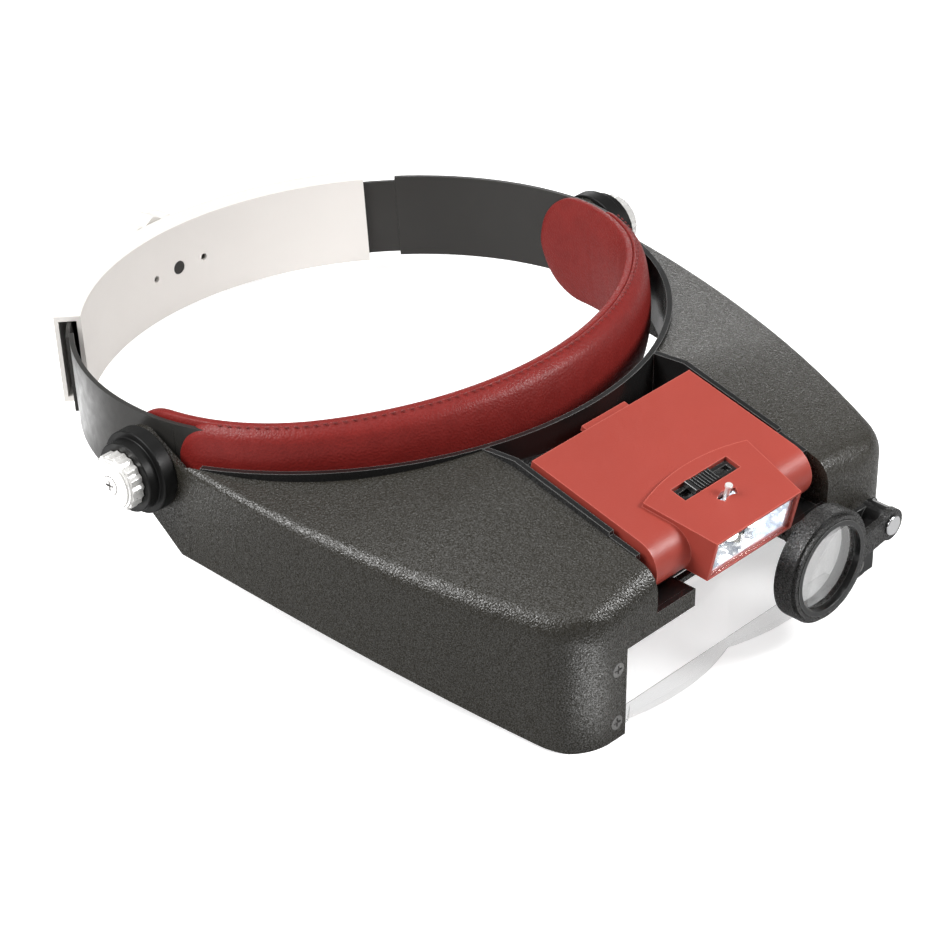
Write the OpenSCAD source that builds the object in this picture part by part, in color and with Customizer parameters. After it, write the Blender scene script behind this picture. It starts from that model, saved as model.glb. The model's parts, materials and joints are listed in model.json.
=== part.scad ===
// Head-worn binocular magnifier: hinged visor with a two-lobe lens, a hooded lamp
// box with batteries, a swing-out round loupe, a flip-down inner lens and a
// padded headband that a rear knob draws in. Millimetres, +Z up, the wearer
// looks along -Y. The part lies on its front bottom edge and its rear knob.

/* [Headband] */
// Half width of the strap, inner face, at the temples
strap_half_w = 97.2; // [96:0.2:98.2]
// Length of the strap loop in front of its widest place, inner face
loop_front_l = 77.5; // [76:0.5:79]
// Bend radius of the strap in front of the temples, inner face
front_side_r = 66; // [60:1:70]
// Distance of the loop's widest place behind the side pivots
loop_back = 3; // [0:0.5:6]
// Strap thickness
strap_t = 1.6; // [1.2:0.1:2]
// Strap height
strap_h = 30; // [26:1:34]
// Where the strap narrows into the toothed tails, seen from the rear arc's centre
tail_angle = 50; // [48:0.5:53]
// Height of the toothed tails inside the rear sleeve
tail_h = 27; // [23:1:27]
// Thickness of each tail
tail_t = 1.3; // [1:0.1:1.4]

/* [Forehead pad] */
// Thickness of the cushion at its crown
pad_t = 6; // [4:0.5:7]
// Height of the cushion
pad_h = 39; // [35:1:42]
// How far the cushion's ends reach behind the pivots
pad_back = 15; // [8:1:18]
// Thickness of the outer wrap
wrap_t = 1.2; // [0.8:0.1:1.6]
// Where the outer wrap ends, in front of the pivots
wrap_front = 10; // [9.5:0.5:24]

/* [Rear adjuster] */
// Half angle of the sleeve, seen from the rear arc's centre
sleeve_half_angle = 43.5; // [40:0.5:44]
// Height of the sleeve
sleeve_h = 31; // [29:0.5:34]
// Wall thickness of the sleeve
sleeve_wall = 1.5; // [1.2:0.1:1.8]
// Free depth in the sleeve outside the tails
sleeve_room = 2.6; // [1:0.2:3.6]
// Radius of the ratchet knob over its lobes
rear_knob_r = 16.5; // [16:0.5:20]
// Length of the ratchet knob along its axis
rear_knob_len = 10; // [8:0.5:14]
// Number of lobes round the ratchet knob
rear_knob_lobes = 12; // [8:1:16]
// Pitch radius of the pinion
pinion_r = 4; // [3.6:0.1:4.4]
// Number of pinion teeth
pinion_teeth = 10; // [8:1:12]

/* [Side pivots] */
// Distance of the pivot axis behind the visor's front face
pivot_y = 154; // [150:1:158]
// Height of the pivot axis above the visor's front bottom edge
pivot_up = 51; // [48:1:54]
// Radius of the pivot stud
stud_r = 2.5; // [2:0.1:3]
// Radial clearance of the turning fits
fit = 0.06; // [0.03:0.01:0.09]
// Radius of the clamp knobs
knob_r = 9.4; // [9:0.2:11]
// Number of flutes round the clamp knobs
knob_flutes = 18; // [12:2:24]
// Length of the clamp knobs
knob_len = 5.8; // [5:0.2:8]
// Radius of the stepped washers
washer_r = 13.8; // [12:0.2:15]
// Thickness of the stepped washers
washer_t = 9.4; // [7:0.2:10]

/* [Visor] */
// Angle of the visor in its resting pose
visor_pitch = 5; // [2:0.5:7]
// Half width at the front
half_front = 73.5; // [73:0.5:78]
// Distance of the temple walls' outer face from the strap's inner face
temple_gap = 6; // [5.6:0.1:7.6]
// Plan radius of the front corners
corner_r = 20; // [12:1:24]
// Rounding of the top edges
edge_r = 6; // [3:0.5:8]
// Wall thickness of the shell
shell_t = 2.2; // [1.8:0.1:2.6]
// Length of the level strip that the front rests on
heel_y = 5; // [3:0.5:8]
// Height of the top edge at the front corners
side_z = 45.5; // [43:0.5:48]
// Height of the crown line at the front
crown_z = 53.6; // [52:0.2:55]
// Rise of the lower edge from the front to the temples
skirt_rise = 24.5; // [20:0.5:28]
// Distance of the brow rim's ends in front of the pivots
rim_side = 15.2; // [14:0.2:17]
// Distance of the brow rim behind the front face
rim_y = 65; // [64.5:0.5:67]
// Height of the brow rim's top edge at the centre
rim_top = 65; // [62:0.5:67]
// Height of the brow rim's lower edge
rim_low = 38; // [34:0.5:42]
// Thickness of the rim and of the pocket walls
liner_t = 2; // [1.6:0.1:2.4]

/* [Lenses] */
// Half width of the lens window
window_half_w = 53.7; // [50:0.1:54]
// Height of the lens window
window_h = 31; // [29:0.5:32]
// Thickness of the main lens at its edge
lens_t = 5.2; // [4:0.2:6]
// Bulge radius of each lens lobe
lobe_r = 85; // [70:1:110]
// Half distance between the lobe centres
lobe_x = 27; // [25:0.5:30]
// Half distance between the lens screws
lens_screw_x = 57.6; // [57:0.1:59]
// Height of the lower lens screws
lens_screw_low = 6.1; // [5:0.1:8]
// Height of the upper lens screws
lens_screw_high = 25.4; // [22:0.1:27]
// Half width of the flip-down lens
flip_half_w = 33; // [28:1:34]
// Height of the flip-down lens
flip_h = 24; // [20:1:25]
// Thickness of the flip-down lens
flip_t = 2.4; // [2:0.1:3]
// Bulge radius of the flip-down lens lobes
flip_lobe_r = 110; // [90:1:140]

/* [Lamp box] */
// Slope of the lamp box top in its closed pose
box_slope = 12.4; // [10:0.2:14]
// Half width of the lamp box
box_half_w = 36.8; // [35:0.2:37.4]
// Length of the lamp box behind its hinge
box_len = 44.3; // [42:0.5:46]
// Radius of the hinge barrel at the nose
barrel_r = 9; // [8.4:0.1:9.2]
// Depth of the lamp box below the hinge axis
box_low = 6.5; // [6:0.1:7]
// Wall thickness of the lamp box
box_wall = 1.8; // [1.4:0.1:2]
// Distance of the hinge behind the front face
hinge_y = 12.7; // [12.4:0.1:13.5]
// Height of the hinge axis
hinge_z = 47.2; // [46.8:0.1:48]
// Reach of the lamp hood in front of the hinge
hood_front = 16; // [15:0.2:17]
// Half width of the hood at its front
hood_front_w = 20; // [19:0.2:20.6]
// Half width of the hood at its rear corners
hood_rear_w = 24.5; // [23:0.5:27]
// Step of the hood above the box
hood_step = 1.5; // [1:0.1:2]
// Depth of the hood below the hinge axis
hood_low = 4.5; // [3.5:0.1:5]
// Length of the switch slot
slot_len = 26; // [24:0.5:28]
// Width of the switch slot
slot_w = 6; // [5:0.2:6.6]
// Diameter of a battery cell
cell_d = 10.4; // [10:0.1:10.6]
// Length of a battery cell
cell_len = 44.5; // [43:0.5:45]

/* [Loupe] */
// Outer radius of the loupe ring
loupe_r = 18.8; // [17:0.1:20]
// Radius of the loupe glass
glass_r = 14.6; // [13:0.1:15]
// Depth of the loupe ring
loupe_d = 7.6; // [6.4:0.2:8.4]
// Distance from the rivet to the loupe centre
arm_len = 38.5; // [37:0.5:40]
// Height of the loupe centre above the rivet
loupe_rise = 4.8; // [0:0.2:6]
// Sideways place of the rivet
rivet_x = 61.6; // [61:0.1:64]
// Height of the rivet above the front bottom edge
rivet_z = 24.2; // [22:0.2:27]
// Gap between the front face and the loupe arm
arm_gap = 7.9; // [7:0.1:9]

/* [Hidden] */
$fn = 96;
gap = 0.3;
eps = 0.01;

// Strap loop: half a circle behind its widest place, two side arcs and a front arc
function end_r(cx, len, side) = (cx * cx + len * len - side * side) / (2 * (len - side));
front_cx = strap_half_w - front_side_r;
front_r = end_r(front_cx, loop_front_l, front_side_r);
front_half = atan2(front_cx, front_r - loop_front_l);
front_c = [0, loop_back + front_r - loop_front_l];
rear_r = strap_half_w;
rear_c = [0, loop_back];

// Rear sleeve and what is stacked in it, as offsets from the strap's inner face
tail_gap = 0.2;
sleeve_in = -gap - sleeve_wall;
sleeve_out = 2 * tail_t + tail_gap + gap + sleeve_room + sleeve_wall;
sleeve_back = rear_c.y + rear_r + sleeve_out;
rear_knob_back = sleeve_back + gap + rear_knob_len;

// Resting pose: the visor's front bottom edge and the rear knob touch the floor
pivot_z = pivot_up * cos(visor_pitch) - pivot_y * sin(visor_pitch);
rest_reach = norm([rear_knob_back, rear_knob_r]);
band_pitch = asin(pivot_z / rest_reach) - atan2(rear_knob_r, rear_knob_back);

// Side pivots
half_rear = strap_half_w + temple_gap;
ear_t = 2.2;
ear_in = half_rear - ear_t;
boss_out = ear_in - 0.2;
boss_in = strap_half_w - 2.3;
boss_r = 8;
flange_t = 1.2;
flange_r = 6;
ear_r = 13;
washer_x = half_rear + 0.1;
knob_x = washer_x + washer_t + 0.2;
knob_out = knob_x + knob_len;

// Visor outline
ear_y = pivot_y - 14;
side_r = (ear_y * ear_y + pow(half_rear - half_front, 2)) / (2 * (half_rear - half_front));
side_c = half_rear - side_r;
corner_x = side_c + sqrt(pow(side_r - corner_r, 2) - pow(ear_y - corner_r, 2));
corner_end = ear_y - (ear_y - corner_r) * side_r / (side_r - corner_r);
side_slope = 0.09;
crown_slope = tan(box_slope);
crown_end = 58;
rim_deep = pivot_y - rim_y - rim_side;
rim_r = (ear_in * ear_in + rim_deep * rim_deep) / (2 * rim_deep);
rim_c = rim_y + rim_r;
rim_slope = 0.1;
rim_half = asin((ear_in - 0.1) / (rim_r + liner_t));
pocket_half = box_half_w + 1.8;
pocket_out = pocket_half + liner_t;
bar_in = 22.9;
bar_z = window_h + 6.3;
step_y = 19.5;
ledge_half = pocket_half - 0.3;
ledge_back = 12.4;

// Lens seats
tab_y = shell_t + 0.05;
tab_t = 3;
tab_end = 60.6;
lens_low = 1.3;
lens_back = 3.3 + lens_t;
lobe_front = -1.2;
screw_head_r = 2.5;
screw_head_t = 1;
screw_r = 1.3;
flip_y = 14.4;
flip_z = 33.6;
flip_pin_r = 1.5;

// Lamp box and lamp
hood_top = barrel_r + hood_step;
hood_rear = 10;
hood_apex = 14;
pin_r = 2;
slot_v = 5.9;
bay_front = 11;
bay_half = box_half_w - box_wall;
bay_low = -box_low + box_wall - 0.3;
bay_top = barrel_r - box_wall;
floor_t = 1.1;
cell_v = bay_low + floor_t + cell_d / 2 + 0.1;
cell_u = [18.2, 29.6];
tray_x = bay_half - gap;
window_t = 1.2;
lamp_low = -hood_low + 1;
lamp_top = hood_top - 1.4;
lamp_half = 17.6;
lamp_back = -0.2;
led_u = -9;
led_half = 9;
lever_u = -2.4;
lever_r = 0.9;
lever_swing = 25;

// Loupe, measured in the visor's frame, on the wearer's left
bracket_t = 1.8;
arm_t = 2.4;
arm_end_r = 5.4;
loupe_x = rivet_x - sqrt(arm_len * arm_len - loupe_rise * loupe_rise);
loupe_z = rivet_z + loupe_rise;
loupe_back = -arm_gap - 0.3;
arm_turn = asin(loupe_rise / arm_len);

// Row origin: under the middle of the part's box, on the floor
loupe_front = loupe_back - loupe_d;
front_y = (loupe_front - pivot_y) * cos(visor_pitch) + (loupe_z - pivot_up - loupe_r + 1.2)
        * sin(visor_pitch);
rear_reach = rear_knob_back * cos(band_pitch) + rear_knob_r * sin(band_pitch);
origin_y = -(front_y + rear_reach) / 2;

// Frames
module in_visor() {
  translate([0, origin_y, pivot_z])
    rotate([-visor_pitch, 0, 0])
      translate([0, -pivot_y, -pivot_up])
        children();
}

module in_band() {
  translate([0, origin_y, pivot_z])
    rotate([-band_pitch, 0, 0])
      children();
}

module in_box() {
  in_visor()
    translate([0, hinge_y, hinge_z])
      rotate([box_slope, 0, 0])
        children();
}

module both_sides() {
  children();
  mirror([1, 0, 0]) children();
}

// A block given by its low and high corners
module block(low, high) {
  translate(low) cube(high - low);
}

// A round bar along X
module bar_x(r, x0, x1) {
  translate([x0, 0, 0]) rotate([0, 90, 0]) cylinder(r = r, h = x1 - x0);
}

// A round bar along Y
module bar_y(r, y0, y1) {
  translate([0, y0, 0]) rotate([-90, 0, 0]) cylinder(r = r, h = y1 - y0);
}

// A profile in the YZ plane, extruded along X
module plate_x(x0, x1, outline) {
  translate([x0, 0, 0])
    rotate([90, 0, 90])
      linear_extrude(x1 - x0) polygon(outline);
}

// A stretch of curved wall: radii r0 to r1, heights z0 to z1, angles a0 to a1
module arc_wall(c, r0, r1, a0, a1, z0, z1) {
  translate([c.x, c.y, z0])
    rotate([0, 0, a0])
      rotate_extrude(angle = a1 - a0, $fn = 180)
        translate([r0, 0]) square([r1 - r0, z1 - z0]);
}

// Headband
module temple_arcs(d0, d1, y_end, z0, z1) {
  a_end = asin((y_end - loop_back) / (front_side_r + d1));
  both_sides()
    arc_wall([front_cx, loop_back], front_side_r + d0, front_side_r + d1,
             -(90 - front_half), a_end, z0, z1);
}

// Filled loop in plan, grown outwards by d: rear half disc, side discs, front sector
module loop_plan(d) {
  reach = 400;
  translate(rear_c) intersection() {
    circle(r = rear_r + d, $fn = 360);
    translate([-reach / 2, 0]) square(reach);
  }
  both_sides()
    translate([front_cx, loop_back]) circle(r = front_side_r + d, $fn = 360);
  translate(front_c) intersection() {
    circle(r = front_r + d, $fn = 360);
    polygon([[0, 0], reach * [-sin(front_half), -cos(front_half)],
             reach * [sin(front_half), -cos(front_half)]]);
  }
}

module band_strap() {
  color([0.17, 0.17, 0.17]) in_band() difference() {
    union() {
      translate([0, 0, -strap_h / 2])
        linear_extrude(strap_h) difference() {
          loop_plan(strap_t);
          loop_plan(0);
          translate(rear_c)
            polygon([[0, 0], 300 * [sin(tail_angle), cos(tail_angle)], [0, 400],
                     300 * [-sin(tail_angle), cos(tail_angle)]]);
        }
      both_sides() bar_x(boss_r, boss_in, boss_out);
    }
    bar_x(stud_r + 0.02, -strap_half_w - 20, strap_half_w + 20);
  }
}

// One toothed tail: a plain stretch, then a slot with rack teeth on one edge
module strap_tail(side, level, tooth_side) {
  r0 = rear_r + level;
  z_half = tail_h / 2;
  slot_half = pinion_r + 1.4;
  slot_from = 90 - side * 12;
  slot_to = 90 + side * 15;
  tooth = 360 * pinion_r / (pinion_teeth * (r0 + tail_t / 2));
  difference() {
    arc_wall(rear_c, r0, r0 + tail_t, min(90 - side * tail_angle, 90 + side * 22),
             max(90 - side * tail_angle, 90 + side * 22), -z_half, z_half);
    arc_wall(rear_c, r0 - 1, r0 + tail_t + 1, min(slot_from, slot_to),
             max(slot_from, slot_to), -slot_half, slot_half);
  }
  for (k = [-4 : 4])
    translate([rear_c.x, rear_c.y, 0])
      rotate([0, 0, 90 + k * tooth])
        translate([r0 + 0.05, 0, tooth_side * slot_half])
          rotate([90, 0, 90])
            linear_extrude(tail_t - 0.1)
              polygon([[-0.8, tooth_side * 0.3], [-0.35, -tooth_side * 1.5],
                       [0.35, -tooth_side * 1.5], [0.8, tooth_side * 0.3]]);
}

module strap_tail_left() {
  color([0.15, 0.15, 0.15]) in_band() strap_tail(1, 0, 1);
}

module strap_tail_right() {
  color([0.15, 0.15, 0.15]) in_band() strap_tail(-1, tail_t + tail_gap, -1);
}

// Path along the strap's inner face: position and outward normal at arc length s
function path_at(s) =
  let (front_len = front_r * front_half * PI / 180,
       side_len = front_side_r * (90 - front_half) * PI / 180,
       over = abs(s) - front_len,
       past = over - side_len,
       sg = s < 0 ? -1 : 1,
       a = past > 0 ? past / rear_r * 180 / PI
         : over > 0 ? -90 + front_half + over / front_side_r * 180 / PI
         : -90 + abs(s) / front_r * 180 / PI,
       c = past > 0 ? rear_c : over > 0 ? [front_cx, loop_back] : front_c,
       r = past > 0 ? rear_r : over > 0 ? front_side_r : front_r)
  [sg * (c.x + r * cos(a)), c.y + r * sin(a), sg * cos(a), sin(a)];

function swell(v, e) = (v < 0 ? -1 : 1) * pow(abs(v), e);

// Cushion: a crowned loaf whose rounded ends thin out
module cushion_loaf() {
  rings = 44;
  sides = 16;
  half_len = front_r * front_half * PI / 180
           + front_side_r * (90 - front_half) * PI / 180 + pad_back - loop_back;
  end_r = 18;
  mid_z = strap_h / 2 + 1.8 - pad_h / 2;
  pts = [
    for (i = [0 : rings])
      let (s = half_len * sin(-90 + 180 * i / rings),
           p = path_at(s),
           e = max(0, abs(s) - half_len + end_r) / end_r,
           k = max(0.16, sqrt(max(0, 1 - e * e))),
           t = 2.4 + (pad_t - 2.4) * sqrt(k),
           h = pad_h * k)
      for (j = [0 : sides - 1])
        let (a = 360 * j / sides,
             d = -gap - t / 2 + t / 2 * swell(cos(a), 0.6),
             z = mid_z + h / 2 * swell(sin(a), 0.75))
        [p[0] + d * p[2], p[1] + d * p[3], z]
  ];
  n = sides;
  polyhedron(pts, concat(
    [[for (j = [0 : n - 1]) j]],
    [[for (j = [n - 1 : -1 : 0]) rings * n + j]],
    [for (i = [0 : rings - 1], j = [0 : n - 1])
       [i * n + j, (i + 1) * n + j, (i + 1) * n + (j + 1) % n]],
    [for (i = [0 : rings - 1], j = [0 : n - 1])
       [i * n + j, (i + 1) * n + (j + 1) % n, i * n + (j + 1) % n]]));
}

module forehead_pad() {
  color([0.45, 0.13, 0.13]) in_band() difference() {
    cushion_loaf();
    both_sides() bar_x(boss_r + 0.6, boss_in - flange_t - 0.4, boss_out + 5);
  }
}

module pad_wrap() {
  low = -strap_h / 2 + 1.5;
  high = strap_h / 2 + gap + wrap_t;
  out0 = strap_t + gap;
  out1 = strap_t + gap + wrap_t;
  color([0.42, 0.12, 0.12]) in_band() {
    arc_wall(front_c, front_r + out0, front_r + out1, 270 - front_half, 270 + front_half, low, high);
    temple_arcs(out0, out1, -wrap_front, low, high);
    arc_wall(front_c, front_r - 0.1, front_r + out1, 270 - front_half, 270 + front_half,
             strap_h / 2 + gap, high);
    temple_arcs(-0.1, out1, -wrap_front, strap_h / 2 + gap, high);
  }
}

// Side pivots
module pivot_studs() {
  color([0.62, 0.62, 0.63]) in_band() both_sides() {
    bar_x(flange_r, boss_in - flange_t, boss_in);
    bar_x(stud_r, boss_in - eps, knob_out - 3);
  }
}

module pivot_washers() {
  color([0.08, 0.08, 0.08]) in_band() both_sides() difference() {
    union() {
      bar_x(washer_r, washer_x, washer_x + washer_t * 0.56);
      bar_x(washer_r - 2.2, washer_x, washer_x + washer_t);
    }
    bar_x(stud_r + 0.02, 0, 200);
  }
}

function serrated(r, depth, teeth) =
  [for (i = [0 : teeth - 1], q = [0 : 3])
     let (a = 360 * (i + q / 4) / teeth, rr = q < 2 ? r : r - depth)
     [rr * cos(a), rr * sin(a)]];

module clamp_knob() {
  difference() {
    union() {
      translate([knob_x, 0, 0]) rotate([0, 90, 0])
        linear_extrude(knob_len - 1.4) polygon(lobed(knob_r, 0.7, knob_flutes));
      bar_x(knob_r - 0.8, knob_x + 0.5, knob_out - 0.6);
      bar_x(knob_r - 1.6, knob_x + 0.5, knob_out);
    }
    bar_x(stud_r + fit, 0, knob_out - 2.6);
    bar_x(3.2, knob_out - 1.2, knob_out + 5);
    bar_x(1.6, knob_out - 4, knob_out + 5);
  }
}

module clamp_knob_left() {
  color([0.8, 0.8, 0.81]) in_band() clamp_knob();
}

module clamp_knob_right() {
  color([0.8, 0.8, 0.81]) in_band() mirror([1, 0, 0]) clamp_knob();
}

// Cross-headed screw in the middle of a clamp knob
module knob_screw() {
  difference() {
    union() {
      bar_x(3.05, knob_out - 1.2, knob_out + 0.2);
      bar_x(1.6, knob_out - 2.5, knob_out - 1.1);
    }
    for (turn = [0, 90])
      rotate([turn, 0, 0])
        block([knob_out - 0.6, -0.35, -1.8], [knob_out + 1, 0.35, 1.8]);
  }
}

module knob_screw_left() {
  color([0.72, 0.72, 0.72]) in_band() knob_screw();
}

module knob_screw_right() {
  color([0.72, 0.72, 0.72]) in_band() mirror([1, 0, 0]) knob_screw();
}

// Rear adjuster
module rear_sleeve() {
  a0 = 90 - sleeve_half_angle;
  a1 = 90 + sleeve_half_angle;
  side_hole = 11.3;
  turn = side_hole / rear_r * 180 / PI;
  color([0.86, 0.83, 0.79]) in_band() difference() {
    arc_wall(rear_c, rear_r + sleeve_in, rear_r + sleeve_out, a0, a1, -sleeve_h / 2, sleeve_h / 2);
    arc_wall(rear_c, rear_r - gap, rear_r + sleeve_out - sleeve_wall, a0 - 2, a1 + 2,
             -tail_h / 2 - gap, tail_h / 2 + gap);
    bar_y(pinion_r - 1.6 + fit, rear_c.y + rear_r - 8, sleeve_back + 2);
    for (s = [-1, 1])
      translate([0, rear_c.y, 0])
        rotate([0, 0, s * turn])
          bar_y(1.2, rear_r - 6, rear_r - gap + eps);
  }
}

// Knob outline with rounded lobes, one lobe pointing down
function lobed(r, depth, lobes) =
  [for (a = [0 : 5 : 355])
     let (rr = r - depth / 2 + depth / 2 * cos(lobes * (a + 90)))
     [rr * cos(a), rr * sin(a)]];

module ratchet_knob() {
  y0 = sleeve_back + gap;
  color([0.88, 0.86, 0.83]) in_band() difference() {
    union() {
      translate([0, y0 + 1.5, 0]) rotate([-90, 0, 0])
        linear_extrude(rear_knob_len - 1.5) polygon(lobed(rear_knob_r, 1.6, rear_knob_lobes));
      bar_y(rear_knob_r - 3, y0, y0 + 3);
    }
    bar_y(rear_knob_r - 4.5, y0 + rear_knob_len - 2, y0 + rear_knob_len + 1);
    bar_y(2, y0 - 1, y0 + rear_knob_len - 3.5);
  }
}

// Pinion between the two racks, with its shaft in the knob
module ratchet_pinion() {
  y0 = rear_c.y + rear_r;
  color([0.2, 0.2, 0.2]) in_band() {
    translate([0, y0 - 0.1, 0]) rotate([-90, 0, 0])
      linear_extrude(2 * tail_t + tail_gap + 0.2)
        rotate(-90 / pinion_teeth / 2) polygon(serrated(pinion_r + 0.9, 2.2, pinion_teeth));
    bar_y(pinion_r - 1.6, y0 - gap - sleeve_wall + 0.2, sleeve_back + gap - 0.05);
    bar_y(1.98, sleeve_back, sleeve_back + gap + rear_knob_len - 3.6);
  }
}

// Visor shell
function half_w(y) = y < corner_end
  ? corner_x + sqrt(corner_r * corner_r - pow(corner_r - y, 2))
  : side_c + sqrt(side_r * side_r - pow(ear_y - min(y, ear_y), 2));
function front_drop(y) = y < edge_r
  ? edge_r - sqrt(edge_r * edge_r - pow(edge_r - y, 2))
  : 0;
function roof(x, y, w) =
  let (side = side_z + side_slope * y,
       mid = crown_z + crown_slope * min(y, crown_end))
  side + (mid - side) * (1 - x * x / (w * w)) - front_drop(y);
function edge_round(x, w) = x > w - edge_r
  ? edge_r - sqrt(max(0, edge_r * edge_r - pow(x - w + edge_r, 2)))
  : 0;

// Half profile of the roof from the wall to the crown, as x positions
function roof_x(w) = concat(
  [for (a = [90 : -18 : 0]) w - edge_r + edge_r * sin(a)],
  [for (f = [0.68, 0.34, 0]) (w - edge_r) * f]);

function skin_section(y, inset, low) =
  let (w = half_w(y),
       right = [for (x = roof_x(w))
                  [x * (w - inset) / w, roof(x, y, w) - edge_round(x, w) - inset]],
       left = [for (i = [len(right) - 2 : -1 : 0]) [-right[i].x, right[i].y]])
  concat([[inset - w, low], [w - inset, low]], right, left);

module skin(stations, inset, y_shift, low) {
  rings = [for (y = stations) [for (p = skin_section(y, inset, low)) [p.x, y + y_shift, p.y]]];
  n = len(rings[0]);
  last = len(rings) - 1;
  polyhedron([for (r = rings) each r], concat(
    [[for (j = [n - 1 : -1 : 0]) j]],
    [[for (j = [0 : n - 1]) last * n + j]],
    [for (i = [0 : last - 1], j = [0 : n - 1])
       [i * n + j, i * n + (j + 1) % n, (i + 1) * n + (j + 1) % n]],
    [for (i = [0 : last - 1], j = [0 : n - 1])
       [i * n + j, (i + 1) * n + (j + 1) % n, (i + 1) * n + j]]));
}

// Lower edge of the skirt: level strip in the resting pose, then rising to the back
function skirt(y) = let (z0 = heel_y * tan(visor_pitch))
  z0 + (skirt_rise - z0) * (1 - pow(max(0, 1 - (y - heel_y) / (ear_y - heel_y)), 1.8));

function skirt_cut() = concat(
  [[-5, -30], [-5, -5 * tan(visor_pitch)]],
  [for (k = [0 : 9]) let (y = heel_y + (ear_y - heel_y) * k / 10) [y, skirt(y)]],
  [[ear_y, skirt_rise], [ear_y + 60, skirt_rise], [ear_y + 60, -30]]);

// Flat ear round the pivot, tangent to the shell's rear corner
module ear() {
  corner = [ear_y, skirt_rise];
  reach = [pivot_y, pivot_up] - corner;
  dist = norm(reach);
  lean = atan2(reach.y, reach.x) - asin(ear_r / dist);
  touch = corner + sqrt(dist * dist - ear_r * ear_r) * [cos(lean), sin(lean)];
  side_top = side_z + side_slope * ear_y;
  difference() {
    union() {
      translate([0, pivot_y, pivot_up]) bar_x(ear_r, ear_in, half_rear);
      plate_x(ear_in, half_rear, [
        [ear_y - 4, skirt_rise], corner, touch, [pivot_y, pivot_up],
        [pivot_y, pivot_up + ear_r], [ear_y - 1, side_top - 1.5],
        [ear_y - 4, side_top - edge_r]]);
    }
    translate([0, pivot_y, pivot_up]) bar_x(stud_r + fit, ear_in - 1, half_rear + 1);
  }
}

module visor_shell() {
  front_stations = [0, 0.5, 1.6, 3.4, 6, corner_end];
  side_stations = [20, 32, 44, crown_end, 76, 96, 118, ear_y];
  color([0.16, 0.16, 0.16]) in_visor() {
    difference() {
      skin(concat(front_stations, side_stations), 0, 0, -20);
      skin(concat(front_stations, side_stations, [ear_y + 10]), shell_t, shell_t, -25);
      translate([0, rim_c, -30]) cylinder(r = rim_r + liner_t, h = 140, $fn = 180);
      plate_x(-130, 130, skirt_cut());
      block([-window_half_w, -5, -1], [window_half_w, 5, window_h]);
      block([-bar_in, -5, 5], [bar_in, 5, 90]);
      block([-pocket_out, -5, bar_z], [pocket_out, 90, 90]);
      for (s = [-1, 1], z = [lens_screw_low, lens_screw_high])
        translate([s * lens_screw_x, 0, z]) {
          bar_y(screw_r + 0.05, -2, shell_t + 2);
          bar_y(screw_head_r + 0.1, -2, screw_head_t);
        }
      both_sides()
        block([window_half_w - gap - 4.3, tab_y - 0.05, -1],
              [tab_end + gap, tab_y + tab_t + gap, window_h - 1]);
    }
    both_sides() {
      ear();
      block([bar_in + eps, shell_t - 1, window_h + 0.3], [ledge_half, ledge_back, window_h + 2.1]);
    }
    block([-bar_in - 1, ledge_back - 2.2, window_h + 0.3], [bar_in + 1, ledge_back, window_h + 2.1]);
  }
}

// Glossy liner: brow rim, pocket walls and the lamp box's hinge bores
function edge_top(y) = roof(pocket_out, y, half_w(y)) + 0.5;

module inner_frame() {
  wall_end = rim_c - sqrt(pow(rim_r + liner_t / 2, 2) - pocket_out * pocket_out);
  upper = crown_z - 0.8;
  low = flip_z - 4;
  front = hinge_y - 3.7;
  walls = [
    [front, low], [front, edge_top(front)], [step_y, edge_top(step_y)],
    [step_y, upper + crown_slope * step_y],
    [crown_end, upper + crown_slope * crown_end], [wall_end, rim_top - 1],
    [wall_end, rim_low], [hinge_y + 12, rim_low], [hinge_y + 8, low]];
  color([0.07, 0.07, 0.07]) in_visor() difference() {
    union() {
      difference() {
        arc_wall([0, rim_c], rim_r, rim_r + liner_t, 270 - rim_half, 270 + rim_half,
                 rim_low, rim_top + 12);
        translate([0, rim_y, rim_top])
          rotate([-atan(rim_slope), 0, 0])
            block([-150, -80, 0], [150, 150, 60]);
      }
      both_sides() plate_x(pocket_half, pocket_out, walls);
    }
    translate([0, hinge_y, hinge_z]) bar_x(pin_r + fit, -60, 60);
    translate([0, flip_y, flip_z]) bar_x(flip_pin_r + fit, -60, 60);
  }
}

// Main lens: a lobe for each eye, meeting in a valley
module main_lens() {
  mid_z = (lens_low + window_h) / 2;
  color([0.85, 0.9, 0.92, 0.4]) in_visor() difference() {
    union() {
      both_sides() intersection() {
        block([-eps, -4, lens_low], [window_half_w - gap, lens_back, window_h - 0.2]);
        translate([lobe_x, lobe_front + lobe_r, mid_z]) sphere(r = lobe_r, $fn = 240);
      }
      both_sides()
        block([window_half_w - gap - 4, tab_y, lens_low], [tab_end, tab_y + tab_t, window_h - 1.2]);
    }
    for (s = [-1, 1], z = [lens_screw_low, lens_screw_high])
      translate([s * lens_screw_x, 0, z]) bar_y(screw_r + 0.02, 0, 12);
  }
}

// Cross-headed screw along Y with its head's face at the front
module face_screw(front, length) {
  difference() {
    union() {
      bar_y(screw_head_r, front, front + screw_head_t);
      bar_y(screw_r, front, front + length);
    }
    for (turn = [0, 90])
      rotate([0, turn, 0])
        block([-0.35, front - 1, -1.6], [0.35, front + 0.6, 1.6]);
  }
}

module lens_screws() {
  color([0.1, 0.1, 0.1]) in_visor()
    for (at = [[-1, lens_screw_low], [-1, lens_screw_high], [1, lens_screw_high]])
      translate([at.x * lens_screw_x, 0, at.y]) face_screw(at.x < 0 ? -0.05 : -0.02, 6);
}

// Lamp box
function hood_arc() =
  let (rise = hood_apex - hood_rear,
       r = (hood_rear_w * hood_rear_w + rise * rise) / (2 * rise))
  [for (x = [hood_rear_w : -hood_rear_w / 6 : -hood_rear_w])
     [x, hood_apex - r + sqrt(r * r - x * x)]];

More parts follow.
